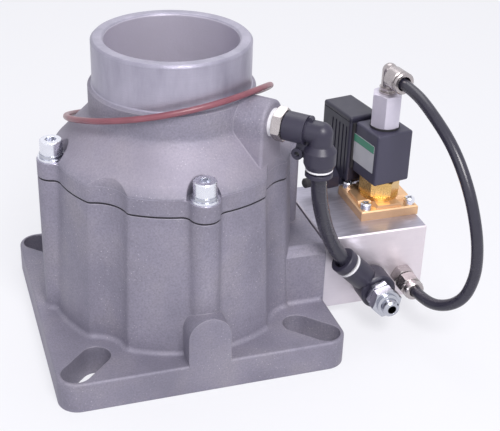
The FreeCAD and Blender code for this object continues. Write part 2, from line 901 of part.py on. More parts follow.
def make_valve_stem():
    top = stem_end
    bottom = piston_bottom - stem_nut_height - stem_thread_proud
    return turned([(0, bottom), (stem_thread_radius - stem_edge, bottom), (stem_thread_radius, bottom + stem_edge),
                   (stem_thread_radius, piston_top), (stem_radius, piston_top), (stem_radius, disc_bottom),
                   (stem_thread_radius, disc_bottom), (stem_thread_radius, top - stem_edge),
                   (stem_thread_radius - stem_edge, top), (0, top)])


def make_stem_nuts():
    nuts = []
    for bottom in (disc_top, piston_bottom - stem_nut_height):
        nut = hexagon(stem_nut_flats, stem_nut_height, vector(0, 0, bottom), chamfer=stem_nut_edge)
        nuts.append(nut.cut(rod(stem_thread_radius + thread_gap, stem_nut_height, vector(0, 0, bottom))))
    return nuts


def make_guide_bush():
    bush = rod(bush_radius, servo_roof, vector(0, 0, servo_ceiling))
    roof_top = servo_ceiling + servo_roof
    bush = bush.fuse(rod(bush_flange_radius, bush_flange_thickness, vector(0, 0, roof_top)))
    return bush.cut(rod(stem_radius + sliding_gap, servo_roof + bush_flange_thickness, vector(0, 0, servo_ceiling)))


def make_piston():
    outer = servo_bore_radius - sliding_gap
    groove_low = piston_bottom + (piston_height - piston_seal_width) / 2
    groove_high = groove_low + piston_seal_width
    groove_floor = outer - piston_seal_depth
    pocket_top = piston_bottom + piston_pocket_depth
    bore = stem_thread_radius + thread_gap
    return turned([(bore, piston_bottom), (piston_pocket_inner_radius, piston_bottom),
                   (piston_pocket_inner_radius, pocket_top), (piston_pocket_outer_radius, pocket_top),
                   (piston_pocket_outer_radius, piston_bottom), (outer, piston_bottom), (outer, groove_low),
                   (groove_floor, groove_low), (groove_floor, groove_high), (outer, groove_high),
                   (outer, piston_top), (bore, piston_top)])


def make_piston_seal():
    outer = servo_bore_radius - sliding_gap
    low = piston_bottom + (piston_height - piston_seal_width) / 2
    return sleeve(outer, outer - piston_seal_depth, piston_seal_width, vector(0, 0, low))


def make_return_spring():
    height = piston_bottom + piston_pocket_depth - cap_top - 2 * spring_end_gap
    return coil_spring(return_spring_radius, return_spring_wire, height, return_spring_turns,
                       vector(0, 0, cap_top + spring_end_gap))


def make_cylinder_cap():
    outer = servo_bore_radius - sliding_gap
    middle = (cap_bottom + cap_top) / 2
    floor = outer - 2 * cap_seal_radius * cap_seal_squeeze
    return turned([(0, cap_bottom), (outer - cap_edge, cap_bottom), (outer, cap_bottom + cap_edge),
                   (outer, middle - cap_seal_radius), (floor, middle - cap_seal_radius),
                   (floor, middle + cap_seal_radius), (outer, middle + cap_seal_radius), (outer, cap_top),
                   (0, cap_top)])


def make_cap_ring():
    middle = (cap_bottom + cap_top) / 2
    wire = cap_seal_radius * cap_seal_squeeze
    ring = Part.makeTorus(servo_bore_radius - sliding_gap - wire, wire)
    ring.translate(vector(0, 0, middle))
    return ring


def make_circlip():
    bottom = servo_bottom + circlip_groove
    outer = servo_bore_radius + circlip_groove - circlip_room
    clip = sleeve(outer, servo_bore_radius - circlip_reach, circlip_thickness, vector(0, 0, bottom))
    return clip.cut(box(0, outer + cut_room, -circlip_gap / 2, circlip_gap / 2, bottom, bottom + circlip_thickness))


# Loose ring round the neck
ring_front = neck_base_radius + ring_front_gap
ring_back = bolt_circle_radius + column_radius + ring_back_gap
ring_high = port_height + boss_half_width + ring_boss_gap + ring_thickness / 2
ring_low = rim_top - ring_hang


def ring_wave(azimuth):
    return ring_sag * math.cos(2 * math.radians(azimuth - ring_sag_azimuth))


def ring_stretch(azimuth):
    return ring_oval * math.cos(2 * math.radians(azimuth - ring_oval_azimuth))


def ring_points():
    """Corners of the ring's centre line: an oval that leans from the port boss down behind the cover."""
    boss_share = math.cos(math.radians(ring_boss_azimuth - ring_low_azimuth))
    rise = ring_high - ring_wave(ring_boss_azimuth) - ring_low + ring_wave(ring_low_azimuth)
    lean = rise / (1 - boss_share)
    level = ring_low - ring_wave(ring_low_azimuth) + lean
    mean = (ring_front + ring_back) / 2 - ring_stretch(90)
    centre = vector(ring_centre_x, (ring_back - ring_front) / 2, level)
    spread = 1 / math.cos(math.pi / ring_corners)
    points = []
    for k in range(ring_corners):
        azimuth = 360 * k / ring_corners
        drop = lean * math.cos(math.radians(azimuth - ring_low_azimuth))
        points.append(centre + polar(mean + ring_stretch(azimuth), azimuth, ring_wave(azimuth) - drop) * spread)
    return points


def make_neck_ring():
    """Ring of tangent arcs, swept in two halves; an odd number of corners lets the last arc meet the first."""
    points = ring_points()
    runs = [(after - here).Length for here, after in zip(points, points[1:] + points[:1])]
    cut = sum(length * (-1) ** k for k, length in enumerate(runs)) / 2
    edges = []
    for before, corner, after, run in zip(points[-1:] + points[:-1], points, points[1:] + points[:1], runs):
        back, onward = (before - corner).normalize(), (after - corner).normalize()
        half_turn = (math.pi - back.getAngle(onward)) / 2
        arc_radius = cut / math.tan(half_turn)
        middle = corner + (back + onward).normalize() * (arc_radius / math.cos(half_turn) - arc_radius)
        edges.append(Part.Arc(corner + back * cut, middle, corner + onward * cut).toShape())
        cut = run - cut
    halves = []
    for arcs in (edges[:ring_corners // 2], edges[ring_corners // 2:]):
        path = Part.Wire(arcs)
        start, along = arcs[0].valueAt(arcs[0].FirstParameter), arcs[0].tangentAt(arcs[0].FirstParameter)
        section = Part.Wire(Part.Circle(start, along, ring_thickness / 2).toShape())
        halves.append(path.makePipeShell([section], True, False))
    return halves[0].fuse(halves[1])


# Push-in sockets, drawn from the fitting's centre along the way the tube leaves
def collet_outer(tube_radius_inside):
    return tube_radius_inside + sliding_gap + collet_sleeve


def socket_cavity(tube_radius_inside, stop, mouth):
    """Room for the tube down to its stop, and the wider room for seal and collet."""
    cavity = rod(tube_radius_inside + thread_gap, mouth - stop, vector(0, 0, stop))
    wide = collet_outer(tube_radius_inside) + sliding_gap
    return cavity.fuse(rod(wide, mouth - stop - socket_wall_step, vector(0, 0, stop + socket_wall_step)))


def socket_seal(tube_radius_inside, stop):
    outer = collet_outer(tube_radius_inside) + sliding_gap
    return sleeve(outer, tube_radius_inside + thread_gap, tube_seal_width, vector(0, 0, stop + socket_wall_step))


def socket_collet(tube_radius_inside, stop, mouth, flange_radius, flange_width):
    """Release collet: a slit sleeve in the socket with its flange outside."""
    inner = tube_radius_inside + sliding_gap
    outer = collet_outer(tube_radius_inside)
    start = stop + socket_wall_step + tube_seal_width + collet_gap
    flange_start = mouth + collet_gap
    end = flange_start + flange_width
    edge = collet_edge
    collet = turned([(inner, start), (outer, start), (outer, flange_start), (flange_radius - edge / 2, flange_start),
                     (flange_radius, flange_start + edge / 2), (flange_radius, end - edge), (flange_radius - edge, end),
                     (inner + collet_flare, end), (inner, mouth)])
    for azimuth in (0, 90):
        slit = box(-outer, outer, -collet_slit / 2, collet_slit / 2, start, start + collet_slit_length)
        slit.rotate(vector(0, 0, 0), UP, azimuth)
        collet = collet.cut(slit)
    return collet


def mouth_ring(tube_radius_inside, radius, mouth):
    """Ring that closes the socket's mouth and keeps the collet in."""
    inner = collet_outer(tube_radius_inside) + sliding_gap
    start = mouth - mouth_ring_width
    return turned([(inner, start), (radius, start), (radius, mouth - mouth_ring_edge),
                   (radius - mouth_ring_edge, mouth), (inner, mouth)])


# Elbow on the port boss
hexagon_start = boss_reach + elbow_seal_thickness
sleeve_start = hexagon_start + elbow_hexagon_width
sleeve_end = sleeve_start + elbow_sleeve_length
elbow_leg_reach = sleeve_end + elbow_bend_length
elbow_corner = port_outward * elbow_leg_reach + UP * port_height
skirt_end = elbow_skirt_drop + elbow_skirt_length
mouth_drop = skirt_end + elbow_skirt_taper + mouth_ring_width
eyelet_reach = elbow_leg_reach - eyelet_setback
eyelet_height = port_height - eyelet_drop


def elbow_placed(shape):
    """From the bend's corner downwards."""
    return placed(shape, elbow_corner, DOWN)


def make_port_seal():
    return sleeve(elbow_seal_radius, port_thread_radius + thread_gap, elbow_seal_thickness, port_point(boss_reach),
                  port_outward)


def make_elbow_stud():
    stud = hexagon(elbow_hexagon_flats, elbow_hexagon_width, port_point(hexagon_start), port_outward,
                   chamfer=elbow_hexagon_edge)
    thread_length = elbow_seal_thickness + port_thread_length
    stud = stud.fuse(rod(port_thread_radius, thread_length, port_point(hexagon_start), port_outward * -1))
    stud = stud.fuse(rod(elbow_spigot_radius, elbow_spigot_length, port_point(sleeve_start), port_outward))
    way_start = hexagon_start - thread_length
    way_length = thread_length + elbow_hexagon_width + elbow_spigot_length
    return stud.cut(rod(port_way_radius, way_length, port_point(way_start), port_outward)).removeSplitter()


def seam_nub():
    """Small rounded rib on top of the bend, against the sleeve's end."""
    base = port_point(sleeve_end + seam_nub_radius, port_height + elbow_body_radius - seam_nub_radius)
    across = polar(1, port_azimuth + 90)
    start = base + UP * seam_nub_rise - across * (seam_nub_length / 2)
    stem = box(-seam_nub_radius, seam_nub_radius, -seam_nub_length / 2, seam_nub_length / 2, 0, seam_nub_rise)
    stem.rotate(vector(0, 0, 0), UP, port_azimuth)
    stem.translate(base)
    return stem.fuse(rod(seam_nub_radius, seam_nub_length, start, across))


def elbow_eyelet():
    """Small eye in the elbow's inner corner, on a thin web."""
    across = polar(1, port_azimuth + 90)
    centre = port_point(eyelet_reach, eyelet_height)
    eye = rod(eyelet_radius, eyelet_length, centre - across * (eyelet_length / 2), across)
    inside = elbow_leg_reach - elbow_body_radius / 2
    under = port_height - elbow_body_radius / 2
    corners = [port_point(eyelet_reach - eyelet_radius / 2, eyelet_height + eyelet_radius / 2),
               port_point(eyelet_reach, under), port_point(inside, under),
               port_point(inside, eyelet_height - eyelet_radius / 2),
               port_point(eyelet_reach, eyelet_height - eyelet_radius / 2)]
    corners = [corner - across * (eyelet_web / 2) for corner in corners]
    web = Part.Face(Part.makePolygon(corners + corners[:1])).extrude(across * eyelet_web)
    hole = rod(eyelet_hole_radius, eyelet_length, centre - across * (eyelet_length / 2), across)
    return eye.fuse(web).cut(hole)


def make_elbow_body():
    near = elbow_sleeve_radius - elbow_sleeve_taper
    body = turned([(0, 0), (near, 0), (elbow_sleeve_radius, elbow_sleeve_taper), (elbow_sleeve_radius,
                   elbow_sleeve_length), (0, elbow_sleeve_length)], port_point(sleeve_start), port_outward)
    body = body.fuse(rod(elbow_body_radius, elbow_leg_reach - sleeve_end, port_point(sleeve_end), port_outward))
    ball = Part.makeSphere(elbow_body_radius)
    ball.translate(elbow_corner)
    shell_end = mouth_drop - mouth_ring_width
    leg = turned([(0, 0), (elbow_body_radius, 0), (elbow_body_radius, elbow_skirt_drop - elbow_skirt_flare),
                  (elbow_skirt_radius, elbow_skirt_drop), (elbow_skirt_radius, skirt_end),
                  (elbow_mouth_radius, shell_end), (0, shell_end)], elbow_corner, DOWN)
    body = body.fuse(ball).fuse(leg).fuse(elbow_eyelet()).fuse(seam_nub())
    body = body.cut(rod(elbow_spigot_radius + thread_gap, elbow_spigot_length + 2 * thread_gap,
                        port_point(sleeve_start), port_outward))
    body = body.cut(rod(port_way_radius, elbow_leg_reach - sleeve_start, port_point(sleeve_start), port_outward))
    body = body.cut(rod(port_way_radius, elbow_socket_stop, elbow_corner, DOWN))
    return body.cut(elbow_placed(socket_cavity(servo_tube_radius, elbow_socket_stop, mouth_drop))).removeSplitter()


def make_elbow_seal():
    return elbow_placed(socket_seal(servo_tube_radius, elbow_socket_stop))


def make_elbow_mouth_ring():
    return elbow_placed(mouth_ring(servo_tube_radius, elbow_mouth_radius, mouth_drop))


def make_elbow_collet():
    return elbow_placed(socket_collet(servo_tube_radius, elbow_socket_stop, mouth_drop, elbow_collet_radius,
                                      elbow_collet_width))


# Manifold block
def make_manifold_gasket():
    edge = manifold_gasket_edge
    gasket = box(flange_half, block_left, -block_half_depth + edge, block_half_depth - edge, flange_thickness + edge,
                 pad_top - manifold_gasket_margin)
    for point in manifold_screw_points(flange_half):
        gasket = gasket.cut(rod(manifold_screw_radius + hole_gap, manifold_gasket_thickness, point, vector(1, 0, 0)))
    way = rod(air_way_radius + hole_gap, manifold_gasket_thickness, vector(flange_half, 0, air_way_height),
              vector(1, 0, 0))
    return gasket.cut(way)


def make_manifold_block():
    """Block with its ports, the supply gallery from its joint face and the two risers to the valve."""
    block = box(block_left, block_right, -block_half_depth, block_half_depth, block_bottom, block_top)
    block = block.makeChamfer(block_edge, block.Edges)
    head_room = manifold_screw_head_height + manifold_screw_recess
    for point in manifold_screw_points(block_left):
        block = block.cut(rod(manifold_screw_radius + hole_gap, block_length, point, vector(1, 0, 0)))
        mouth = point + vector(block_length - head_room, 0, 0)
        block = block.cut(rod(manifold_screw_head_radius + hole_gap, head_room, mouth, vector(1, 0, 0)))
    port_depth = block_half_depth - gallery_offset
    for x, radius, bite in ((banjo_x, banjo_bolt_radius, banjo_bolt_bite),
                            (compression_x, compression_thread_radius, compression_thread_length)):
        mouth = vector(x, -block_half_depth, port_row_height)
        block = block.cut(rod(radius + thread_gap, bite + cut_room, mouth, vector(0, 1, 0)))
        block = block.cut(rod(air_way_radius, port_depth, mouth, vector(0, 1, 0)))
    for point in plate_screw_points(block_top):
        block = block.cut(rod(plate_screw_radius + thread_gap, plate_screw_bite + cut_room, point, DOWN))
    supply = rod(air_way_radius, compression_x - block_left, vector(block_left, -gallery_offset, port_row_height),
                 vector(1, 0, 0))
    supply_riser = rod(air_jet_radius, block_top - port_row_height, vector(valve_x, -gallery_offset, port_row_height))
    outlet = rod(air_way_radius, valve_x - block_left, vector(block_left, 0, air_way_height), vector(1, 0, 0))
    outlet_riser = rod(air_jet_radius, block_top - air_way_height, vector(valve_x, 0, air_way_height))
    return block.cut(supply).cut(supply_riser).cut(outlet).cut(outlet_riser).removeSplitter()


def make_manifold_screws():
    head_room = manifold_screw_head_height + manifold_screw_recess
    length = block_length - head_room + manifold_gasket_thickness + manifold_screw_bite
    return [socket_screw(manifold_screw_radius, length, manifold_screw_head_radius, manifold_screw_head_height,
                         manifold_screw_flats, manifold_screw_socket_depth, point, vector(1, 0, 0))
            for point in manifold_screw_points(block_right - head_room)]


# Banjo fitting
banjo_face = -block_half_depth
banjo_ring_start = banjo_face - banjo_washer_thickness
banjo_ring_end = banjo_ring_start - banjo_ring_width
banjo_head_start = banjo_ring_end - banjo_washer_thickness
banjo_centre = vector(banjo_x, (banjo_ring_start + banjo_ring_end) / 2, port_row_height)
banjo_outward = vector(-math.cos(math.radians(banjo_pitch)), 0, math.sin(math.radians(banjo_pitch)))


def banjo_point(y):
    return vector(banjo_x, y, port_row_height)


def make_banjo_washers():
    return [sleeve(banjo_washer_radius, banjo_bolt_radius + hole_gap / 2, banjo_washer_thickness, banjo_point(y),
                   OUT_FRONT) for y in (banjo_face, banjo_ring_end)]


def make_banjo_bolt():
    groove_start = banjo_head_start - banjo_collar_width
    hexagon_start_y = groove_start - banjo_groove_width
    nose_start = hexagon_start_y - banjo_hexagon_width
    shank_length = banjo_face + banjo_bolt_bite - banjo_head_start
    bolt = hexagon(banjo_collar_flats, banjo_collar_width, banjo_point(banjo_head_start), OUT_FRONT, banjo_turn,
                   banjo_collar_edge)
    bolt = bolt.fuse(rod(banjo_bolt_radius, shank_length, banjo_point(banjo_head_start), vector(0, 1, 0)))
    bolt = bolt.fuse(rod(banjo_groove_radius, banjo_groove_width, banjo_point(groove_start), OUT_FRONT))
    bolt = bolt.fuse(hexagon(banjo_hexagon_flats, banjo_hexagon_width, banjo_point(hexagon_start_y), OUT_FRONT,
                             banjo_turn, banjo_hexagon_edge))
    step = banjo_nose_radius + banjo_step_width
    nose = turned([(0, 0), (step, 0), (step, banjo_step_length),
                   (banjo_nose_radius, banjo_step_length + banjo_step_slope),
                   (banjo_nose_radius, banjo_nose_length - banjo_nose_edge),
                   (banjo_nose_radius - banjo_nose_edge, banjo_nose_length),
                   (0, banjo_nose_length)], banjo_point(nose_start), OUT_FRONT)
    bolt = bolt.fuse(nose)
    way_length = shank_length + banjo_head_start - nose_start + banjo_nose_length
    bolt = bolt.cut(rod(banjo_way_radius, way_length, banjo_point(banjo_face + banjo_bolt_bite), OUT_FRONT))
    reach = banjo_bolt_radius + cut_room
    cross = rod(banjo_cross_radius, 2 * reach, banjo_centre - banjo_outward * reach, banjo_outward)
    return bolt.cut(cross).removeSplitter()


def make_banjo_body():
    """Ring round the bolt and the barrel that leans out of it."""
    edge = banjo_edge
    body = turned([(0, 0), (banjo_ring_radius - edge, 0), (banjo_ring_radius, edge),
                   (banjo_ring_radius, banjo_ring_width - edge), (banjo_ring_radius - edge, banjo_ring_width),
                   (0, banjo_ring_width)], banjo_point(banjo_ring_start), OUT_FRONT)
    foot = banjo_ring_radius - banjo_foot_margin
    barrel = turned([(0, 0), (banjo_ring_width / 2, 0), (banjo_ring_width / 2, foot),
                     (banjo_barrel_radius, foot + banjo_foot_slope),
                     (banjo_barrel_radius, banjo_barrel_reach - mouth_ring_width),
                     (0, banjo_barrel_reach - mouth_ring_width)], banjo_centre, banjo_outward)
    body = body.fuse(barrel)
    body = body.cut(rod(banjo_bolt_radius + banjo_room, banjo_ring_width, banjo_point(banjo_ring_start), OUT_FRONT))
    body = body.cut(rod(banjo_way_radius, banjo_barrel_reach, banjo_centre, banjo_outward))
    cavity = socket_cavity(servo_tube_radius, banjo_socket_stop, banjo_barrel_reach)
    return body.cut(banjo_placed(cavity)).removeSplitter()


def banjo_placed(shape):
    return placed(shape, banjo_centre, banjo_outward)


def make_banjo_seal():
    return banjo_placed(socket_seal(servo_tube_radius, banjo_socket_stop))


def make_banjo_mouth_ring():
    return banjo_placed(mouth_ring(servo_tube_radius, banjo_barrel_radius, banjo_barrel_reach))


def make_banjo_collet():
    return banjo_placed(socket_collet(servo_tube_radius, banjo_socket_stop, banjo_barrel_reach, banjo_collet_radius,
                                      banjo_collet_width))


# Compression fitting
def compression_point(y):
    return vector(compression_x, y, port_row_height)


compression_neck_start = -block_half_depth - compression_body_width
compression_nut_start = compression_neck_start - compression_neck_width


def make_compression_body():
    face = compression_point(-block_half_depth)
    body = hexagon(compression_body_flats, compression_body_width, face, OUT_FRONT, compression_body_turn,
                   compression_edge)
    body = body.fuse(rod(compression_thread_radius, compression_thread_length, face, vector(0, 1, 0)))
    body = body.fuse(rod(compression_neck_radius, compression_neck_width + compression_bite,
                         compression_point(compression_neck_start), OUT_FRONT))
    back = compression_point(-block_half_depth + compression_thread_length)
    reach = compression_thread_length + compression_body_width + compression_neck_width + compression_bite
    body = body.cut(rod(solenoid_tube_radius - tube_bore_inset, reach, back, OUT_FRONT))
    tube_end = compression_point(solenoid_tube_route[0][1])
    return body.cut(rod(solenoid_tube_radius + thread_gap, reach, tube_end, OUT_FRONT)).removeSplitter()


def make_compression_nut():
    start = compression_point(compression_nut_start)
    nut = hexagon(compression_nut_flats, compression_nut_width, start, OUT_FRONT, compression_nut_turn,
                  compression_edge)
    shoulder = compression_nose_width - compression_nose_edge
    nose = turned([(0, 0), (compression_nose_radius, 0), (compression_nose_radius, shoulder),
                   (compression_nose_radius - compression_nose_edge, compression_nose_width),
                   (0, compression_nose_width)],
                  compression_point(compression_nut_start - compression_nut_width), OUT_FRONT)
    nut = nut.fuse(nose)
    nut = nut.cut(rod(compression_neck_radius + thread_gap, compression_bite + ferrule_length, start, OUT_FRONT))
    length = compression_nut_width + compression_nose_width
    return nut.cut(rod(solenoid_tube_radius + thread_gap, length, start, OUT_FRONT)).removeSplitter()


def make_ferrule():
    start = compression_point(compression_nut_start - compression_bite)
    inner = solenoid_tube_radius + thread_gap
    return turned([(inner, 0), (inner + ferrule_tip, 0), (compression_neck_radius, ferrule_nose),
                   (compression_neck_radius, ferrule_length - ferrule_nose), (inner + ferrule_tip, ferrule_length),
                   (inner, ferrule_length)], start, OUT_FRONT)


# Solenoid valve
valve_centre = vector(valve_x, 0)


def valve_local(shape):
    """From the valve's own frame, turned with the coil, to the part's frame."""
    shape = shape.copy()
    shape.rotate(vector(0, 0, 0), UP, valve_turn)
    shape.translate(valve_centre)
    return shape


def plate_screw_points(height):
    points = []
    for offset in (-plate_screw_offset, plate_screw_offset):
        for side in (-plate_screw_offset, plate_screw_offset):
            points.append(vector(valve_x + offset, side, height))
    return points


def tapered_bar(width, length, height, slope):
    """Bar with sloping sides, along X."""
    section = [vector(-length / 2, -width / 2 - slope, 0), vector(-length / 2, width / 2 + slope, 0),
               vector(-length / 2, width / 2, height), vector(-length / 2, -width / 2, height)]
    return Part.Face(Part.makePolygon(section + section[:1])).extrude(vector(length, 0, 0))


def make_solenoid_plate():
    half = plate_side / 2
    plate = box(-half, half, -half, half, block_top, plate_top)
    top_edges = [edge for edge in plate.Edges if edge.BoundBox.ZMin > plate_top - 1e-4]
    plate = plate.makeChamfer(plate_edge, top_edges)
    bar = tapered_bar(plate_cross_width, plate_side - 2 * plate_cross_margin, plate_cross_height, plate_cross_slope)
    for azimuth in (0, 90):
        arm = bar.copy()
        arm.rotate(vector(0, 0, 0), UP, azimuth)
        arm.translate(vector(0, 0, plate_top))
        plate = plate.fuse(arm)
    pocket_floor = cross_top - nut_spigot_depth
    plate = plate.cut(rod(plate_bore_radius + thread_gap, nut_spigot_depth, vector(0, 0, pocket_floor)))
    for y in (0, -gallery_offset):
        plate = plate.cut(rod(air_jet_radius, pocket_floor - block_top, vector(0, y, block_top)))
    plate = plate.fuse(sleeve(seat_nozzle_radius, air_jet_radius, nozzle_top - pocket_floor,
                              vector(0, 0, pocket_floor)))
    room = sleeve(plate_seal_radius + plate_seal_wire, plate_seal_radius - plate_seal_wire,
                  2 * plate_seal_wire * plate_seal_squeeze, vector(0, 0, block_top))
    plate = plate.cut(room)
    plate.translate(valve_centre)
    for point in plate_screw_points(block_top):
        plate = plate.cut(rod(plate_screw_radius + hole_gap / 2, plate_thickness, point))
    return plate.removeSplitter()


def make_plate_seal():
    wire = plate_seal_wire * plate_seal_squeeze
    ring = Part.makeTorus(plate_seal_radius, wire)
    ring.translate(vector(valve_x, 0, block_top + wire))
    return ring


def make_plate_screws():
    """Cheese head screws with a cross recess."""
    screws = []
    for point in plate_screw_points(plate_top):
        top, edge = plate_screw_head_height, plate_screw_head_edge
        head = turned([(0, 0), (plate_screw_head_radius, 0), (plate_screw_head_radius, top - edge),
                       (plate_screw_head_radius - edge, top), (0, top)])
        screw = head.fuse(rod(plate_screw_radius, plate_thickness + plate_screw_bite, vector(0, 0, 0), DOWN))
        half_length, half_width = plate_screw_slot_length / 2, plate_screw_slot_width / 2
        for azimuth in (0, 90):
            slot = box(-half_length, half_length, -half_width, half_width, top - plate_screw_slot_depth, top)
            slot.rotate(vector(0, 0, 0), UP, plate_screw_slot_turn + azimuth)
            screw = screw.cut(slot)
        screws.append(placed(screw, point))
    return screws


tube_foot = nut_bottom - tube_foot_drop
core_bottom = coil_top - core_length
plunger_bottom = core_bottom - plunger_travel - sliding_gap - plunger_length
nozzle_top = plunger_bottom - sliding_gap


def make_tube_nut():
    """Brass hexagon that clamps the armature tube to the plate."""
    spigot_bottom = cross_top - nut_spigot_depth
    nut = rod(nut_foot_radius, nut_foot_height, vector(0, 0, cross_top))
    nut = nut.fuse(hexagon(nut_flats, nut_height, vector(0, 0, nut_bottom), turn=nut_turn, chamfer=nut_edge))
    nut = nut.fuse(rod(plate_bore_radius, nut_spigot_depth, vector(0, 0, spigot_bottom)))
    throat = tube_flange_radius + thread_gap - nut_throat_step
    nut = nut.cut(rod(throat, tube_foot - spigot_bottom, vector(0, 0, spigot_bottom)))
    nut = nut.cut(rod(tube_flange_radius + thread_gap, tube_flange_height + thread_gap, vector(0, 0, tube_foot)))
    nut = nut.cut(rod(tube_radius + thread_gap, nut_height, vector(0, 0, tube_foot + tube_flange_height)))
    nut.translate(valve_centre)
    return nut.removeSplitter()


def make_armature_tube():
    stud_top = standoff_bottom + standoff_stud_length
    tube = rod(tube_flange_radius, tube_flange_height, vector(0, 0, tube_foot))
    tube = tube.fuse(rod(tube_radius, coil_top - tube_foot, vector(0, 0, tube_foot)))
    tube = tube.fuse(rod(standoff_stud_radius, stud_top - coil_top, vector(0, 0, coil_top)))
    tube = tube.cut(rod(tube_bore_radius, core_bottom - tube_foot, vector(0, 0, tube_foot)))
    tube = tube.cut(rod(vent_radius, stud_top - core_bottom, vector(0, 0, core_bottom)))
    tube.translate(valve_centre)
    return tube.removeSplitter()


def make_plunger():
    outer = tube_bore_radius - sliding_gap
    top = plunger_bottom + plunger_length
    pocket = plunger_spring_radius + 2 * plunger_spring_wire + plunger_spring_room
    floor = top - plunger_pocket_depth
    plunger = turned([(0, plunger_bottom), (outer - plunger_edge, plunger_bottom),
                      (outer, plunger_bottom + plunger_edge), (outer, top), (pocket, top), (pocket, floor), (0, floor)])
    for side in (-1, 1):
        groove = box(-plunger_groove_width / 2, plunger_groove_width / 2, side * outer - plunger_groove_depth,
                     side * outer + plunger_groove_depth, plunger_bottom, top)
        plunger = plunger.cut(groove)
    plunger.translate(valve_centre)
    return plunger


def make_plunger_spring():
    floor = plunger_bottom + plunger_length - plunger_pocket_depth
    spring = coil_spring(plunger_spring_radius, plunger_spring_wire, core_bottom - floor - 2 * spring_end_gap,
                         plunger_spring_turns, vector(0, 0, floor + spring_end_gap))
    spring.translate(valve_centre)
    return spring


def make_coil():
    half = coil_side / 2
    coil = box(-half, half, -half, half, coil_bottom, coil_top)
    coil = coil.makeFillet(coil_edge, coil.Edges)
    coil = coil.cut(rod(tube_radius + 2 * sliding_gap, coil_height, vector(0, 0, coil_bottom)))
    return valve_local(coil)


def make_standoff_washer():
    return sleeve(standoff_washer_radius, standoff_stud_radius + thread_gap, standoff_washer_thickness,
                  vector(valve_x, 0, coil_top))


def make_standoff():
    standoff = hexagon(standoff_flats, standoff_height, vector(0, 0, standoff_bottom), turn=standoff_turn,
                       chamfer=standoff_edge)
    standoff = standoff.cut(rod(standoff_stud_radius + thread_gap, standoff_stud_length + cut_room,
                                vector(0, 0, standoff_bottom)))
    standoff = standoff.cut(rod(standoff_way_radius, standoff_height, vector(0, 0, standoff_bottom)))
    thread_depth = top_thread_length + top_thread_room
    standoff = standoff.cut(rod(top_thread_radius + thread_gap, thread_depth,
                                vector(0, 0, standoff_top - thread_depth)))
    standoff.translate(valve_centre)
    return standoff


# Connector, in the valve's own frame: its back is towards +Y there
connector_front = coil_side / 2 + connector_gasket_thickness
connector_back = connector_front + connector_depth
connector_left = connector_shift - connector_width / 2
connector_right = connector_shift + connector_width / 2
connector_top = coil_top + connector_rise
connector_bottom = connector_top - connector_height
gland_y = connector_front + gland_block_front + gland_block_length / 2
gland_z = connector_bottom - gland_block_drop / 2 + gland_rise
connector_screw_z = connector_top - connector_screw_drop


def make_connector():
    shell = box(connector_left, connector_right, connector_front, connector_back, connector_bottom, connector_top)
    block = box(connector_left, connector_right, connector_front + gland_block_front,
                connector_front + gland_block_front + gland_block_length,
                connector_bottom + connector_foot - gland_block_drop, connector_bottom + connector_foot)
    shell = shell.makeFillet(connector_edge, shell.Edges).fuse(block)
    seam = connector_top - connector_lid
    frame = box(connector_left, connector_right, connector_front, connector_back, seam, seam + connector_seam)
    core = box(connector_left + connector_seam, connector_right - connector_seam, connector_front + connector_seam,
               connector_back - connector_seam, seam, seam + connector_seam)
    shell = shell.cut(frame.cut(core))
    for k in range(connector_rib_count):
        y = connector_front + connector_rib_start + connector_rib_pitch * k
        for x in (connector_left, connector_right):
            groove = box(x - connector_rib_depth, x + connector_rib_depth, y, y + connector_rib_width,
                         connector_bottom + connector_foot, seam - connector_foot)
            shell = shell.cut(groove)
    screw_way = rod(connector_screw_radius + hole_gap / 2, connector_depth,
                    vector(connector_shift, connector_front, connector_screw_z), vector(0, 1, 0))
    head_room = rod(connector_screw_head_radius + hole_gap, connector_screw_head_height + connector_screw_sink,
                    vector(connector_shift, connector_back, connector_screw_z), OUT_FRONT)
    shell = shell.cut(screw_way).cut(head_room)
    gland_room = rod(gland_thread_radius + thread_gap, gland_bite + cut_room, vector(connector_left, gland_y, gland_z),
                     vector(1, 0, 0))
    return valve_local(shell.cut(gland_room).removeSplitter())


def make_connector_gasket():
    front = coil_side / 2
    edge = connector_edge
    gasket = box(connector_left + edge, connector_right - edge, front, connector_front, coil_bottom + edge,
                 coil_top - edge)
    gasket = gasket.cut(rod(connector_screw_radius + hole_gap / 2, connector_gasket_thickness,
                            vector(connector_shift, front, connector_screw_z), vector(0, 1, 0)))
    return valve_local(gasket)


def make_connector_screw():
    seat = connector_back - connector_screw_head_height - connector_screw_sink
    screw = rod(connector_screw_radius, seat - connector_front, vector(connector_shift, seat, connector_screw_z),
                OUT_FRONT)
    head = rod(connector_screw_head_radius, connector_screw_head_height,
               vector(connector_shift, seat, connector_screw_z), vector(0, 1, 0))
    reach, half = connector_screw_head_radius + cut_room, connector_screw_slot / 2
    slot = box(connector_shift - reach, connector_shift + reach, seat + connector_screw_head_height / 2,
               seat + connector_screw_head_height, connector_screw_z - half, connector_screw_z + half)
    return valve_local(screw.fuse(head).cut(slot))


def make_gland_nut():
    outward = vector(-1, 0, 0)
    start = vector(connector_left, gland_y, gland_z)
    nut = hexagon(gland_nut_flats, gland_nut_width, start, outward, chamfer=gland_nut_edge)
    nut = nut.fuse(rod(gland_thread_radius, gland_bite, start, vector(1, 0, 0)))
    return valve_local(nut.cut(rod(gland_sleeve_radius, gland_nut_width, start, outward)))


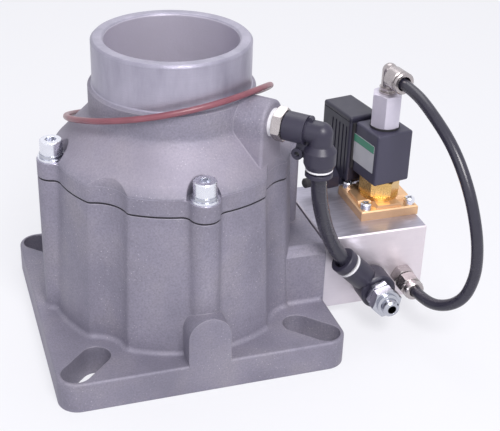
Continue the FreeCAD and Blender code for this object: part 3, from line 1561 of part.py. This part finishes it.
def make_gland_sleeve():
    """Blind rubber sleeve in the gland, with a tapering nose."""
    start = vector(connector_left, gland_y, gland_z)
    nose = gland_nut_width + gland_sleeve_length
    neck = gland_nut_width + gland_sleeve_neck
    return valve_local(turned([(0, 0), (gland_sleeve_radius, 0), (gland_sleeve_radius, neck),
                               (gland_tip_radius, neck + gland_sleeve_slope), (gland_tip_radius, nose - gland_tip_edge),
                               (gland_tip_radius - gland_tip_edge, nose), (0, nose)], start, vector(-1, 0, 0)))


# Top elbow
top_outward = polar(1, top_elbow_azimuth)
top_centre = vector(valve_x, 0, top_elbow_height)
top_barrel_end = top_barrel_start + top_barrel_length


def make_top_stud():
    """Threaded foot with its two rings."""
    lip = top_foot_radius + top_foot_lip
    thread_end = standoff_top - top_thread_length
    profile = [(top_way_radius, thread_end), (top_thread_radius, thread_end), (top_thread_radius, standoff_top),
               (lip, standoff_top)]
    ring = top_foot_height / 4
    for k in range(2):
        base = standoff_top + 2 * k * ring
        profile += [(lip, base + ring), (top_foot_radius - top_foot_groove, base + ring),
                    (top_foot_radius - top_foot_groove, base + 2 * ring), (top_foot_radius, base + 2 * ring)]
    profile[-1] = (top_way_radius, standoff_top + top_foot_height)
    stud = turned(profile)
    stud.translate(valve_centre)
    return stud


def make_top_elbow():
    foot = standoff_top + top_foot_height
    post = rod(top_post_radius, top_elbow_rise - top_foot_height + top_dome_rise, vector(valve_x, 0, foot))
    dome = Part.makeSphere(top_post_radius)
    dome.translate(vector(valve_x, 0, top_elbow_height + top_dome_rise))
    barrel = turned([(0, 0), (top_barrel_radius - top_barrel_bevel, 0), (top_barrel_radius, top_barrel_bevel),
                     (top_barrel_radius, top_barrel_length - top_barrel_edge),
                     (top_barrel_radius - top_barrel_edge, top_barrel_length),
                     (0, top_barrel_length)], top_centre + top_outward * top_barrel_start, top_outward)
    elbow = post.fuse(dome).fuse(barrel)
    elbow = elbow.cut(rod(top_way_radius, top_elbow_height - foot, vector(valve_x, 0, foot)))
    elbow = elbow.cut(rod(top_way_radius, top_barrel_end, top_centre, top_outward))
    cavity = socket_cavity(solenoid_tube_radius, top_barrel_stop, top_barrel_end)
    return elbow.cut(placed(cavity, top_centre, top_outward)).removeSplitter()


def make_top_seal():
    return placed(socket_seal(solenoid_tube_radius, top_barrel_stop), top_centre, top_outward)


def make_top_collet():
    collet = socket_collet(solenoid_tube_radius, top_barrel_stop, top_barrel_end, top_collet_radius, top_collet_width)
    return placed(collet, top_centre, top_outward)


nodes = {
    "housing": make_housing(),
    "cover": make_cover(),
    "body_gasket": make_body_gasket(),
    "cover_bolts": make_cover_bolts(),
    "cover_washers": make_cover_washers(),
    "cover_spring_washers": make_cover_spring_washers(),
    "valve_disc": make_valve_disc(),
    "disc_seal": make_disc_seal(),
    "valve_stem": make_valve_stem(),
    "stem_nuts": make_stem_nuts(),
    "guide_bush": make_guide_bush(),
    "servo_piston": make_piston(),
    "piston_seal": make_piston_seal(),
    "return_spring": make_return_spring(),
    "cylinder_cap": make_cylinder_cap(),
    "cap_ring": make_cap_ring(),
    "circlip": make_circlip(),
    "neck_ring": make_neck_ring(),
    "port_seal": make_port_seal(),
    "elbow_stud": make_elbow_stud(),
    "elbow_body": make_elbow_body(),
    "elbow_tube_seal": make_elbow_seal(),
    "elbow_mouth_ring": make_elbow_mouth_ring(),
    "elbow_collet": make_elbow_collet(),
    "servo_tube": tube_along(servo_tube_route, servo_tube_radius, "servo_tube"),
    "manifold_gasket": make_manifold_gasket(),
    "manifold_block": make_manifold_block(),
    "manifold_screws": make_manifold_screws(),
    "banjo_washers": make_banjo_washers(),
    "banjo_bolt": make_banjo_bolt(),
    "banjo_body": make_banjo_body(),
    "banjo_tube_seal": make_banjo_seal(),
    "banjo_mouth_ring": make_banjo_mouth_ring(),
    "banjo_collet": make_banjo_collet(),
    "compression_body": make_compression_body(),
    "compression_nut": make_compression_nut(),
    "ferrule": make_ferrule(),
    "solenoid_tube": tube_along(solenoid_tube_route, solenoid_tube_radius, "solenoid_tube"),
    "solenoid_plate": make_solenoid_plate(),
    "plate_seal": make_plate_seal(),
    "plate_screws": make_plate_screws(),
    "tube_nut": make_tube_nut(),
    "armature_tube": make_armature_tube(),
    "plunger": make_plunger(),
    "plunger_spring": make_plunger_spring(),
    "coil": make_coil(),
    "standoff_washer": make_standoff_washer(),
    "standoff": make_standoff(),
    "connector": make_connector(),
    "connector_gasket": make_connector_gasket(),
    "connector_screw": make_connector_screw(),
    "gland_nut": make_gland_nut(),
    "gland_sleeve": make_gland_sleeve(),
    "top_stud": make_top_stud(),
    "top_elbow": make_top_elbow(),
    "top_tube_seal": make_top_seal(),
    "top_collet": make_top_collet(),
}

os.makedirs("parts", exist_ok=True)
for name, shape in nodes.items():
    group = Part.makeCompound(shape) if isinstance(shape, list) else shape
    group.exportStep("parts/" + name + ".step")
    print(name, "solids", len(group.Solids), "valid", group.isValid(), "volume", round(group.Volume / 1000, 3))
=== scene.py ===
import json
import math
import bmesh
import bpy
from mathutils import Matrix, Vector


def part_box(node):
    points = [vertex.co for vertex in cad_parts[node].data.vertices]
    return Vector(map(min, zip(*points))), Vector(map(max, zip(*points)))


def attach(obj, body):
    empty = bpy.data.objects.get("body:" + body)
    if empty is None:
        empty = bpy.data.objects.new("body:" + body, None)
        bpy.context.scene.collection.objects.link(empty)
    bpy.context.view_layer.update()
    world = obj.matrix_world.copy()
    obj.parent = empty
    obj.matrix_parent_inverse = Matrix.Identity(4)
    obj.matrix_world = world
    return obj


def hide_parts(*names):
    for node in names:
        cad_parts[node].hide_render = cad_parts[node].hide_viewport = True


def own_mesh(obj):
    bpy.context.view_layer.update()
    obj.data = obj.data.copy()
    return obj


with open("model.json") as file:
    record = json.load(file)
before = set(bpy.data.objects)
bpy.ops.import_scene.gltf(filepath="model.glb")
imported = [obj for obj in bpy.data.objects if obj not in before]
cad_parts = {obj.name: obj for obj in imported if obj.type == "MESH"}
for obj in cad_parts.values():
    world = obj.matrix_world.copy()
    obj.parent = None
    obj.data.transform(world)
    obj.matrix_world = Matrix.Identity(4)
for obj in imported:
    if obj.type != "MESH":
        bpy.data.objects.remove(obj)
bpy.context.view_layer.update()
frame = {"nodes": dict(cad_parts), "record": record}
nodes = frame["nodes"]

# Sizes in metres, as in the part's source
neck_radius = 0.045
neck_height = 0.0262
bore_radius = 0.0377
bolt_seat_height = 0.1152
rim_top = 0.116
cone_top = 0.139
valve_x = 0.1348
valve_turn = math.radians(10)
coil_half = 0.0128

# How far the machined looks reach past their faces, in metres
shoulder_room = 0.0004
turned_room = 0.0012
bore_wall_room = 0.0002
seat_room = 0.00008
face_room = 0.0001
block_top_room = 0.00005

# Painted light on the cone, which faces the key lamp: the height at which it ends and the height over
# which it fades
cone_light_end = cone_top + 0.001
cone_light_fade = 0.005

# Tubes: the points of the routes, in metres
servo_tube_diameter = 0.009
servo_tube_route = [
    (0.06576, -0.06576, 0.1310),
    (0.06576, -0.06576, 0.1135),
    (0.0715, -0.0588, 0.0930),
    (0.0805, -0.0495, 0.0705),
    (0.09296, -0.0430, 0.04854),
    (0.10851, -0.0430, 0.03299),
]
solenoid_tube_diameter = 0.007
solenoid_tube_route = [
    (0.1390, -0.0425, 0.0245),
    (0.1390, -0.0600, 0.0245),
    (0.1436, -0.0772, 0.0262),
    (0.1522, -0.0895, 0.0365),
    (0.1562, -0.0930, 0.0540),
    (0.1546, -0.0948, 0.0720),
    (0.1518, -0.0930, 0.0900),
    (0.1490, -0.0845, 0.1095),
    (0.1454, -0.0685, 0.1280),
    (0.1406, -0.0470, 0.1406),
    (0.1384, -0.0265, 0.1460),
    (0.13547, -0.00496, 0.1460),
]

# Label on the coil's left face, in the valve's own frame
label_back = 0.0142
label_front = -0.0095
label_bottom = 0.0858
label_top = 0.1043
label_thickness = 0.00012
label_corner = 0.0008
label_gap = 0.00002
band_height = 0.0052
band_margin = 0.0003
band_gap = 0.00003
corner_steps = 4

# Camera at the photograph's angle, in metres, radians and millimetres
camera_place = (-0.143218, -0.567982, 0.396330)
camera_yaw = 0.3265
camera_pitch = 0.5101
camera_roll = 0.0337
camera_lens = 80.09
camera_sensor = 36.0

# Floor and light
floor_size = 12
floor_tone = (0.86, 0.86, 0.89)
floor_glow = 0.72
world_tone = (0.92, 0.93, 1.0)
world_strength = 0.41
lamp_target = (0.03, 0.0, 0.08)


def colour(red, green, blue):
    """Colour from its screen values, 0 to 255."""
    def linear(value):
        value /= 255
        return value / 12.92 if value <= 0.04045 else ((value + 0.055) / 1.055) ** 2.4
    return tuple(linear(value) for value in (red, green, blue))


background_tone = colour(249, 249, 254)


def placed(name, data):
    """New object in the scene."""
    made = bpy.data.objects.new(name, data)
    bpy.context.scene.collection.objects.link(made)
    return made


# Node materials
class Finish:
    """A node material, built step by step round its shader."""

    def __init__(self, name, **settings):
        self.material = bpy.data.materials.new(name)
        self.material.use_nodes = True
        self.tree = self.material.node_tree
        self.shader = self.tree.nodes["Principled BSDF"]
        for socket, value in settings.items():
            self.shader.inputs[socket.replace("_", " ")].default_value = value
        self.normal = None

    def add(self, kind, inputs=(), **settings):
        """New node, with a link or a value for each input that is named."""
        made = self.tree.nodes.new(kind)
        for key, value in settings.items():
            setattr(made, key, value)
        for key, value in dict(inputs).items():
            if isinstance(value, bpy.types.NodeSocket):
                self.tree.links.new(value, made.inputs[key])
            else:
                made.inputs[key].default_value = value
        return made

    def maths(self, operation, first, second=0.0):
        return self.add("ShaderNodeMath", {0: first, 1: second}, operation=operation).outputs[0]

    def above(self, value, limit):
        return self.maths("GREATER_THAN", value, limit)

    def below(self, value, limit):
        return self.maths("LESS_THAN", value, limit)

    def both(self, first, second):
        return self.maths("MULTIPLY", first, second)

    def either(self, first, second):
        return self.maths("MAXIMUM", first, second)

    def between(self, value, low, high, to_low=0.0, to_high=1.0):
        """Value from one range to another, held at the ends."""
        inputs = {"Value": value, "From Min": low, "From Max": high, "To Min": to_low, "To Max": to_high}
        return self.add("ShaderNodeMapRange", inputs).outputs["Result"]

    def mixed(self, share, first, second):
        """Tone from the first to the second as the share goes from 0 to 1."""
        made = self.add("ShaderNodeMix", data_type="RGBA")
        sockets = {socket.name: socket for socket in made.inputs if socket.enabled}
        self.tree.links.new(share, sockets["Factor"])
        for key, tone in (("A", first), ("B", second)):
            if isinstance(tone, bpy.types.NodeSocket):
                self.tree.links.new(tone, sockets[key])
            else:
                sockets[key].default_value = (*tone, 1.0)
        return [socket for socket in made.outputs if socket.enabled][0]

    def point(self):
        """The point on the piece, in metres."""
        return self.add("ShaderNodeTexCoord").outputs["Object"]

    def along(self, axis):
        """The point's place along an axis, in metres."""
        return self.add("ShaderNodeSeparateXYZ", {"Vector": self.point()}).outputs[axis]

    def from_neck_axis(self):
        """The point's distance from the neck's axis, in metres."""
        x, y = self.along("X"), self.along("Y")
        squares = self.maths("ADD", self.maths("MULTIPLY", x, x), self.maths("MULTIPLY", y, y))
        return self.maths("SQRT", squares)

    def stretched(self, stretch):
        """The point, scaled per axis."""
        return self.add("ShaderNodeMapping", {"Vector": self.point(), "Scale": stretch}).outputs["Vector"]

    def noise(self, size, detail=3.0, roughness=0.5, stretch=(1, 1, 1)):
        """Noise whose blotches are about a size in metres, from 0 to 1."""
        inputs = {"Vector": self.stretched(stretch), "Scale": 1 / size,
                  "Detail": detail, "Roughness": roughness}
        return self.add("ShaderNodeTexNoise", inputs).outputs["Fac"]

    def flecks(self, size):
        """Distance to the nearest of many scattered points."""
        inputs = {"Vector": self.point(), "Scale": 1 / size}
        return self.add("ShaderNodeTexVoronoi", inputs).outputs["Distance"]

    def bevel(self, radius):
        """The normal that the surface would have with its edges rounded."""
        return self.add("ShaderNodeBevel", {"Radius": radius}, samples=4).outputs["Normal"]

    def edges(self, radius):
        """One on a sharp edge, zero a radius away from it."""
        true = self.add("ShaderNodeNewGeometry").outputs["Normal"]
        inputs = {0: self.bevel(radius), 1: true}
        dot = self.add("ShaderNodeVectorMath", inputs, operation="DOT_PRODUCT").outputs["Value"]
        return self.between(dot, 0.99, 0.85)

    def round_edges(self, radius):
        self.normal = self.bevel(radius)

    def bump(self, height, depth, strength):
        """Bump on top of the rounded edges and of earlier bumps."""
        inputs = {"Height": height, "Distance": depth, "Strength": strength, "Normal": self.normal}
        self.normal = self.add("ShaderNodeBump", inputs).outputs["Normal"]

    def link(self, value, socket):
        self.tree.links.new(value, self.shader.inputs[socket])

    def done(self):
        self.link(self.normal, "Normal")
        return self.material


# Tones of the castings and of their machined faces, with painted light on the cone and in the bore
cast_dark = colour(133, 130, 145)
cast_pale = colour(155, 151, 167)
cast_warm = colour(152, 147, 151)
cast_grain = colour(109, 105, 119)
# painted highlight: tone of the bright flecks that stand in for glints
cast_glint = colour(216, 211, 220)
cast_worn = colour(202, 196, 208)
# painted light: paler tone for the cone, which faces the lamp
cone_painted_light = colour(190, 180, 194)
turned_dark = colour(154, 151, 167)
turned_pale = colour(182, 178, 194)
turned_ring = colour(144, 141, 158)
# painted light: paler tone that lightens the shaded inside of the bore
bore_painted_light = colour(196, 191, 205)


def cast_base(finish):
    """Shot-blasted casting: mottled grey with a fine grain, bright flecks painted as glints, and worn
    edges.
    """
    cloud = finish.noise(0.045, 4.0, 0.55)
    warmth = finish.noise(0.022, 2.0)
    grain = finish.noise(0.0011, 3.0, 0.65)
    tone = finish.mixed(finish.between(cloud, 0.35, 0.65), cast_dark, cast_pale)
    tone = finish.mixed(finish.between(warmth, 0.45, 0.7, 0.0, 0.35), tone, cast_warm)
    tone = finish.mixed(finish.between(grain, 0.35, 0.7, 0.0, 0.5), tone, cast_grain)
    # painted highlight: scattered bright flecks stand in for the glints of the blasted surface
    painted_glints = finish.both(finish.between(finish.flecks(0.0022), 0.03, 0.16, 0.75, 0.0),
                         finish.between(finish.noise(0.03, 2.0), 0.45, 0.6))
    tone = finish.mixed(painted_glints, tone, cast_glint)
    worn = finish.both(finish.edges(0.0009), finish.between(grain, 0.3, 0.65, 0.05, 0.5))
    tone = finish.mixed(worn, tone, cast_worn)
    finish.round_edges(0.0011)
    finish.bump(finish.noise(0.012, 2.0), 0.0006, 0.35)
    finish.bump(grain, 0.00025, 0.6)
    return tone


def turned_rings(finish):
    """Fine rings that a lathe leaves round the neck's axis."""
    place = finish.maths("ADD", finish.from_neck_axis(), finish.along("Z"))
    inputs = {"W": place, "Scale": 4200.0, "Detail": 2.0}
    return finish.add("ShaderNodeTexNoise", inputs, noise_dimensions="1D").outputs["Fac"]


def cover_mask(finish):
    """The neck and its shoulder, the bore, and the spot faces under the bolt heads."""
    z = finish.along("Z")
    radius = finish.from_neck_axis()
    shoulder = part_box("cover")[1].z - neck_height
    neck = finish.both(finish.above(z, shoulder - shoulder_room),
                       finish.below(radius, neck_radius + turned_room))
    bore = finish.below(radius, bore_radius + turned_room)
    off_seat = finish.maths("ABSOLUTE", finish.maths("SUBTRACT", z, bolt_seat_height))
    return finish.either(finish.either(neck, bore), finish.below(off_seat, seat_room))


def housing_mask(finish):
    """The underside, the block's pad and the joint face."""
    z = finish.along("Z")
    under = finish.below(z, face_room)
    pad = finish.above(finish.along("X"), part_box("housing")[1].x - face_room)
    top = finish.above(z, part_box("housing")[1].z - face_room)
    return finish.either(under, finish.either(pad, top))


def cast_with_machining(name, mask_of):
    """Casting whose cone is made paler by painted light, and whose masked faces are machined brighter and
    smoother.
    """
    finish = Finish(name)
    z = finish.along("Z")
    tone = cast_base(finish)
    # painted light: the cone is made paler, fading in above the rim and out below its top
    cone = finish.both(finish.between(z, rim_top, rim_top + cone_light_fade, 0.0, 0.22),
                       finish.between(z, cone_light_end, cone_light_end - cone_light_fade))
    tone = finish.mixed(cone, tone, cone_painted_light)
    mask = mask_of(finish)
    streaks = finish.noise(0.012, 4.0, 0.6, (1, 1, 0.25))
    bright = finish.mixed(finish.between(streaks, 0.3, 0.7), turned_dark, turned_pale)
    bright = finish.mixed(finish.between(turned_rings(finish), 0.35, 0.7, 0.0, 0.4), bright, turned_ring)
    # painted light: the shaded bore wall gets a paler tone
    inside = finish.both(mask, finish.below(finish.from_neck_axis(), bore_radius + bore_wall_room))
    bright = finish.mixed(inside, bright, bore_painted_light)
    finish.link(finish.mixed(mask, tone, bright), "Base Color")
    finish.link(finish.between(mask, 0.0, 1.0, 0.6, 0.36), "Roughness")
    shine = finish.between(mask, 0.0, 1.0, 0.3, 0.6)
    finish.link(finish.maths("SUBTRACT", shine, finish.maths("MULTIPLY", inside, 0.25)), "Metallic")
    return finish.done()


def metal(name, tone, worn, roughness, grain_size=0.0016, edge=0.00025, metallic=1.0):
    """Plain metal with soft smudges, fine scratches and rounded edges."""
    finish = Finish(name, Metallic=metallic)
    smudge = finish.noise(0.006, 3.0, 0.6)
    scratch = finish.noise(grain_size, 2.0, 0.6)
    finish.link(finish.mixed(smudge, tone, worn), "Base Color")
    finish.link(finish.between(scratch, 0.25, 0.75, roughness * 0.8, roughness * 1.25), "Roughness")
    finish.round_edges(edge)
    finish.bump(scratch, 0.00002, 0.5)
    return finish.done()


def brushed_block():
    """Milled block, bright at the sides, with painted shade that greys the sides towards the housing and
    darkens the brushed top.
    """
    finish = Finish("block", Metallic=0.8)
    top = finish.above(finish.along("Z"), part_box("manifold_block")[1].z - block_top_room)
    smudge = finish.noise(0.01, 3.0, 0.6)
    scratch = finish.noise(0.0012, 2.0, 0.6, (0.08, 1, 1))
    side = finish.mixed(smudge, colour(240, 231, 236), colour(226, 217, 224))
    # painted shade: the sides grey towards the housing, where its shade falls
    grey = finish.between(finish.along("X"), 0.125, 0.085, 0.0, 0.5)
    side = finish.mixed(grey, side, colour(176, 175, 188))
    # painted shade: the top gets a darker, shaded copy of the aluminium tone
    shaded_top_tone = finish.mixed(finish.between(scratch, 0.3, 0.7), colour(158, 156, 170), colour(181, 178, 192))
    finish.link(finish.mixed(top, side, shaded_top_tone), "Base Color")
    finish.link(finish.between(scratch, 0.25, 0.75, 0.35, 0.55), "Roughness")
    finish.round_edges(0.0004)
    finish.bump(scratch, 0.00002, 0.5)
    return finish.done()


def plastic(name, tone, second_tone, roughness, grain_size=0.0005, depth=0.00002, coat=0.0):
    """Moulded plastic or rubber with a faint grain and uneven gloss."""
    finish = Finish(name, Coat_Weight=coat, Coat_Roughness=0.25)
    cloud = finish.noise(0.008, 3.0)
    grain = finish.noise(grain_size, 2.0, 0.6)
    finish.link(finish.mixed(cloud, tone, second_tone), "Base Color")
    finish.link(finish.between(cloud, 0.3, 0.7, roughness * 0.85, roughness * 1.15), "Roughness")
    finish.round_edges(0.0003)
    finish.bump(grain, depth, 0.5)
    return finish.done()


finishes = {
    "cover_casting": cast_with_machining("cover_casting", cover_mask),
    "housing_casting": cast_with_machining("housing_casting", housing_mask),
    "block": brushed_block(),
}
for name, tone, worn, roughness, settings in (
    ("zinc", (206, 208, 216), (172, 174, 184), 0.2, {}),
    ("bright_zinc", (240, 241, 247), (220, 222, 231), 0.26, {}),
    ("turned_aluminium", (205, 203, 206), (190, 188, 192), 0.3, {}),
    ("steel", (182, 182, 186), (160, 160, 166), 0.28, {}),
    ("spring", (120, 118, 122), (96, 94, 98), 0.35, {}),
    ("sintered_bronze", (190, 140, 84), (160, 112, 62), 0.45, {"grain_size": 0.0004}),
    ("nickel", (196, 189, 188), (160, 153, 154), 0.24, {"metallic": 0.92}),
    ("satin_nickel", (222, 217, 230), (206, 201, 216), 0.45, {"metallic": 0.4}),
    ("brass", (230, 192, 124), (200, 162, 102), 0.26, {}),
    ("plate_brass", (236, 198, 158), (218, 178, 138), 0.44,
     {"grain_size": 0.0009, "edge": 0.0004, "metallic": 0.85}),
):
    finishes[name] = metal(name, colour(*tone), colour(*worn), roughness, **settings)
for name, tone, second_tone, roughness, settings in (
    ("gasket", (34, 32, 38), (46, 43, 50), 0.8, {}),
    ("black_rubber", (38, 37, 40), (50, 48, 52), 0.65, {}),
    ("ring_rubber", (112, 58, 68), (146, 86, 98), 0.36, {"coat": 0.2}),
    ("white_seal", (236, 235, 238), (226, 225, 229), 0.45, {}),
    ("fitting_plastic", (42, 40, 56), (54, 51, 68), 0.42, {}),
    ("tube_plastic", (42, 41, 53), (54, 52, 65), 0.26, {}),
    ("coil_plastic", (60, 58, 76), (70, 68, 87), 0.5, {"grain_size": 0.0004, "depth": 0.00003}),
    ("connector_plastic", (40, 39, 54), (50, 48, 64), 0.42, {}),
    ("label_field", (206, 207, 211), (190, 191, 197), 0.45, {}),
    ("label_band", (62, 140, 112), (76, 152, 124), 0.42, {}),
):
    finishes[name] = plastic(name, colour(*tone), colour(*second_tone), roughness, **settings)

# Finish of each material slot in the record, and of the nodes that look different from their slot
slot_finish = {
    "gasket_sheet": "gasket",
    "zinc_steel": "zinc",
    "valve_aluminium": "turned_aluminium",
    "seal_rubber": "black_rubber",
    "steel": "steel",
    "spring_steel": "spring",
    "bronze": "sintered_bronze",
    "red_rubber": "ring_rubber",
    "white_seal": "white_seal",
    "nickel": "nickel",
    "fitting_plastic": "fitting_plastic",
    "white_plastic": "white_seal",
    "tube_plastic": "tube_plastic",
    "block_aluminium": "block",
    "soft_metal": "turned_aluminium",
    "brass": "brass",
    "plate_brass": "plate_brass",
    "coil_plastic": "coil_plastic",
    "connector_plastic": "connector_plastic",
    "dark_rubber": "black_rubber",
}
node_finish = {
    "cover": "cover_casting",
    "housing": "housing_casting",
    "standoff": "satin_nickel",
    "cover_bolts": "bright_zinc",
    "cover_washers": "bright_zinc",
    "plate_screws": "bright_zinc",
}


def dress(piece, finish_name):
    piece.data.materials.clear()
    piece.data.materials.append(finishes[finish_name])


def dress_nodes():
    slots = {entry["node"]: entry["material_slot"] for entry in frame["record"]["subparts"]}
    for name, node in nodes.items():
        dress(node, node_finish.get(name) or slot_finish[slots[name]])


# Tubes
def tube(name, route, diameter, cad_node):
    """Round tube along its route, with closed ends."""
    curve = bpy.data.curves.new(name, "CURVE")
    curve.dimensions = "3D"
    curve.bevel_depth = diameter / 2
    curve.bevel_resolution = 8
    curve.resolution_u = 16
    curve.use_fill_caps = True
    spline = curve.splines.new("NURBS")
    spline.points.add(len(route) - 1)
    for point, place in zip(spline.points, route):
        point.co = (*place, 1.0)
    spline.order_u = 3
    spline.use_endpoint_u = True
    piece = placed(name, curve)
    dress(piece, "tube_plastic")
    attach(piece, "root")
    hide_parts(cad_node)


# Springs
def spring(name, cad_node):
    """Copy of the CAD coil with a mesh of its own, shown in place of the CAD node."""
    piece = placed(name, nodes[cad_node].data.copy())
    dress(piece, "spring")
    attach(piece, "root")
    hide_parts(cad_node)
    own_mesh(piece)


# Label
def rounded_sheet(name, box, thickness, corner, offset):
    """Thin sheet with rounded corners on the coil's left face."""
    low_y, high_y, low_z, high_z = box
    corners = ((high_y - corner, high_z - corner, 0), (low_y + corner, high_z - corner, 90),
               (low_y + corner, low_z + corner, 180), (high_y - corner, low_z + corner, 270))
    mesh = bpy.data.meshes.new(name)
    shape = bmesh.new()
    rim = []
    for centre_y, centre_z, start in corners:
        for step in range(corner_steps + 1):
            angle = math.radians(start + step * 90 / corner_steps)
            y = centre_y + corner * math.cos(angle)
            z = centre_z + corner * math.sin(angle)
            rim.append(shape.verts.new((0, y, z)))
    face = shape.faces.new(rim)
    grown = bmesh.ops.extrude_face_region(shape, geom=[face])
    lifted = [v for v in grown["geom"] if isinstance(v, bmesh.types.BMVert)]
    bmesh.ops.translate(shape, verts=lifted, vec=(-thickness, 0, 0))
    bmesh.ops.recalc_face_normals(shape, faces=shape.faces)
    turn = Matrix.Translation((valve_x, 0, 0)) @ Matrix.Rotation(valve_turn, 4, "Z")
    turn = turn @ Matrix.Translation((-coil_half - offset, 0, 0))
    bmesh.ops.transform(shape, matrix=turn, verts=shape.verts)
    shape.to_mesh(mesh)
    shape.free()
    piece = placed(name, mesh)
    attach(piece, "root")
    return piece


def add_label():
    """Blank grey label with a green band along its top."""
    field = rounded_sheet("coil_label", (label_front, label_back, label_bottom, label_top),
                          label_thickness, label_corner, label_gap)
    dress(field, "label_field")
    band_box = (label_front + band_margin, label_back - band_margin,
                label_top - band_height, label_top - band_margin)
    band = rounded_sheet("coil_label_band", band_box,
                         label_thickness / 2, label_corner / 2, label_thickness + band_gap)
    dress(band, "label_band")


# Camera
def set_camera():
    level_share = math.cos(camera_pitch)
    forward = Vector((math.sin(camera_yaw) * level_share, math.cos(camera_yaw) * level_share,
                      -math.sin(camera_pitch)))
    level = Vector((math.cos(camera_yaw), -math.sin(camera_yaw), 0))
    upright = level.cross(forward)
    right = level * math.cos(camera_roll) + upright * math.sin(camera_roll)
    up = upright * math.cos(camera_roll) - level * math.sin(camera_roll)
    data = bpy.data.cameras.new("camera")
    data.sensor_width = camera_sensor
    data.lens = camera_lens
    camera = placed("camera", data)
    turn = Matrix((right, up, -forward)).transposed().to_4x4()
    camera.matrix_world = Matrix.Translation(camera_place) @ turn
    bpy.context.scene.camera = camera


# Floor and light
def background_share(tree):
    """One for camera, glossy and transmission rays."""
    path = tree.nodes.new("ShaderNodeLightPath")
    share = path.outputs["Is Camera Ray"]
    for kind in ("Is Glossy Ray", "Is Transmission Ray"):
        most = tree.nodes.new("ShaderNodeMath")
        most.operation = "MAXIMUM"
        tree.links.new(share, most.inputs[0])
        tree.links.new(path.outputs[kind], most.inputs[1])
        share = most.outputs[0]
    return share


def mix_to_output(tree, share, first, second, output):
    """Mixes two shaders into the tree's output."""
    mix = tree.nodes.new("ShaderNodeMixShader")
    for place, socket in enumerate((share, first.outputs[0], second.outputs[0])):
        tree.links.new(socket, mix.inputs[place])
    tree.links.new(mix.outputs[0], tree.nodes[output].inputs["Surface"])


def set_floor():
    """Pale floor that keeps the object's shadow."""
    bpy.ops.mesh.primitive_plane_add(size=floor_size)
    floor = bpy.context.object
    floor.name = "floor"
    material = bpy.data.materials.new("floor")
    material.use_nodes = True
    tree = material.node_tree
    shader = tree.nodes["Principled BSDF"]
    shader.inputs["Base Color"].default_value = (*floor_tone, 1)
    shader.inputs["Roughness"].default_value = 0.9
    glow = tree.nodes.new("ShaderNodeEmission")
    glow.inputs["Color"].default_value = (*background_tone, 1)
    weight = tree.nodes.new("ShaderNodeMath")
    weight.operation = "MULTIPLY"
    weight.inputs[1].default_value = floor_glow
    tree.links.new(background_share(tree), weight.inputs[0])
    mix_to_output(tree, weight.outputs[0], shader, glow, "Material Output")
    floor.data.materials.append(material)


def set_world():
    """Soft light on the object, and a pale background."""
    world = bpy.data.worlds.new("studio")
    bpy.context.scene.world = world
    world.use_nodes = True
    tree = world.node_tree
    soft = tree.nodes["Background"]
    soft.inputs["Color"].default_value = (*world_tone, 1)
    soft.inputs["Strength"].default_value = world_strength
    pale = tree.nodes.new("ShaderNodeBackground")
    pale.inputs["Color"].default_value = (*background_tone, 1)
    mix_to_output(tree, background_share(tree), soft, pale, "World Output")


def lamp(name, place, size, power, tone):
    """Round lamp that faces the object."""
    data = bpy.data.lights.new(name, "AREA")
    data.shape = "DISK"
    data.size = size
    data.energy = power
    data.color = tone
    light = placed(name, data)
    light.location = place
    light.rotation_euler = (Vector(lamp_target) - Vector(place)).to_track_quat("-Z", "Y").to_euler()


dress_nodes()
tube("servo_line", servo_tube_route, servo_tube_diameter, "servo_tube")
tube("solenoid_line", solenoid_tube_route, solenoid_tube_diameter, "solenoid_tube")
spring("return_coil", "return_spring")
spring("plunger_coil", "plunger_spring")
add_label()
set_camera()
set_floor()
set_world()
lamp("key", (0.05, -0.95, 1.12), size=0.6, power=16.2, tone=(1.0, 0.98, 0.98))
lamp("fill", (-0.95, -0.5, 0.6), size=0.8, power=1.1, tone=(0.97, 0.97, 1.0))
lamp("top", (0.2, 0.6, 1.2), size=0.9, power=4.0, tone=(1.0, 1.0, 1.0))
scene = bpy.context.scene
scene.view_settings.view_transform = "Standard"
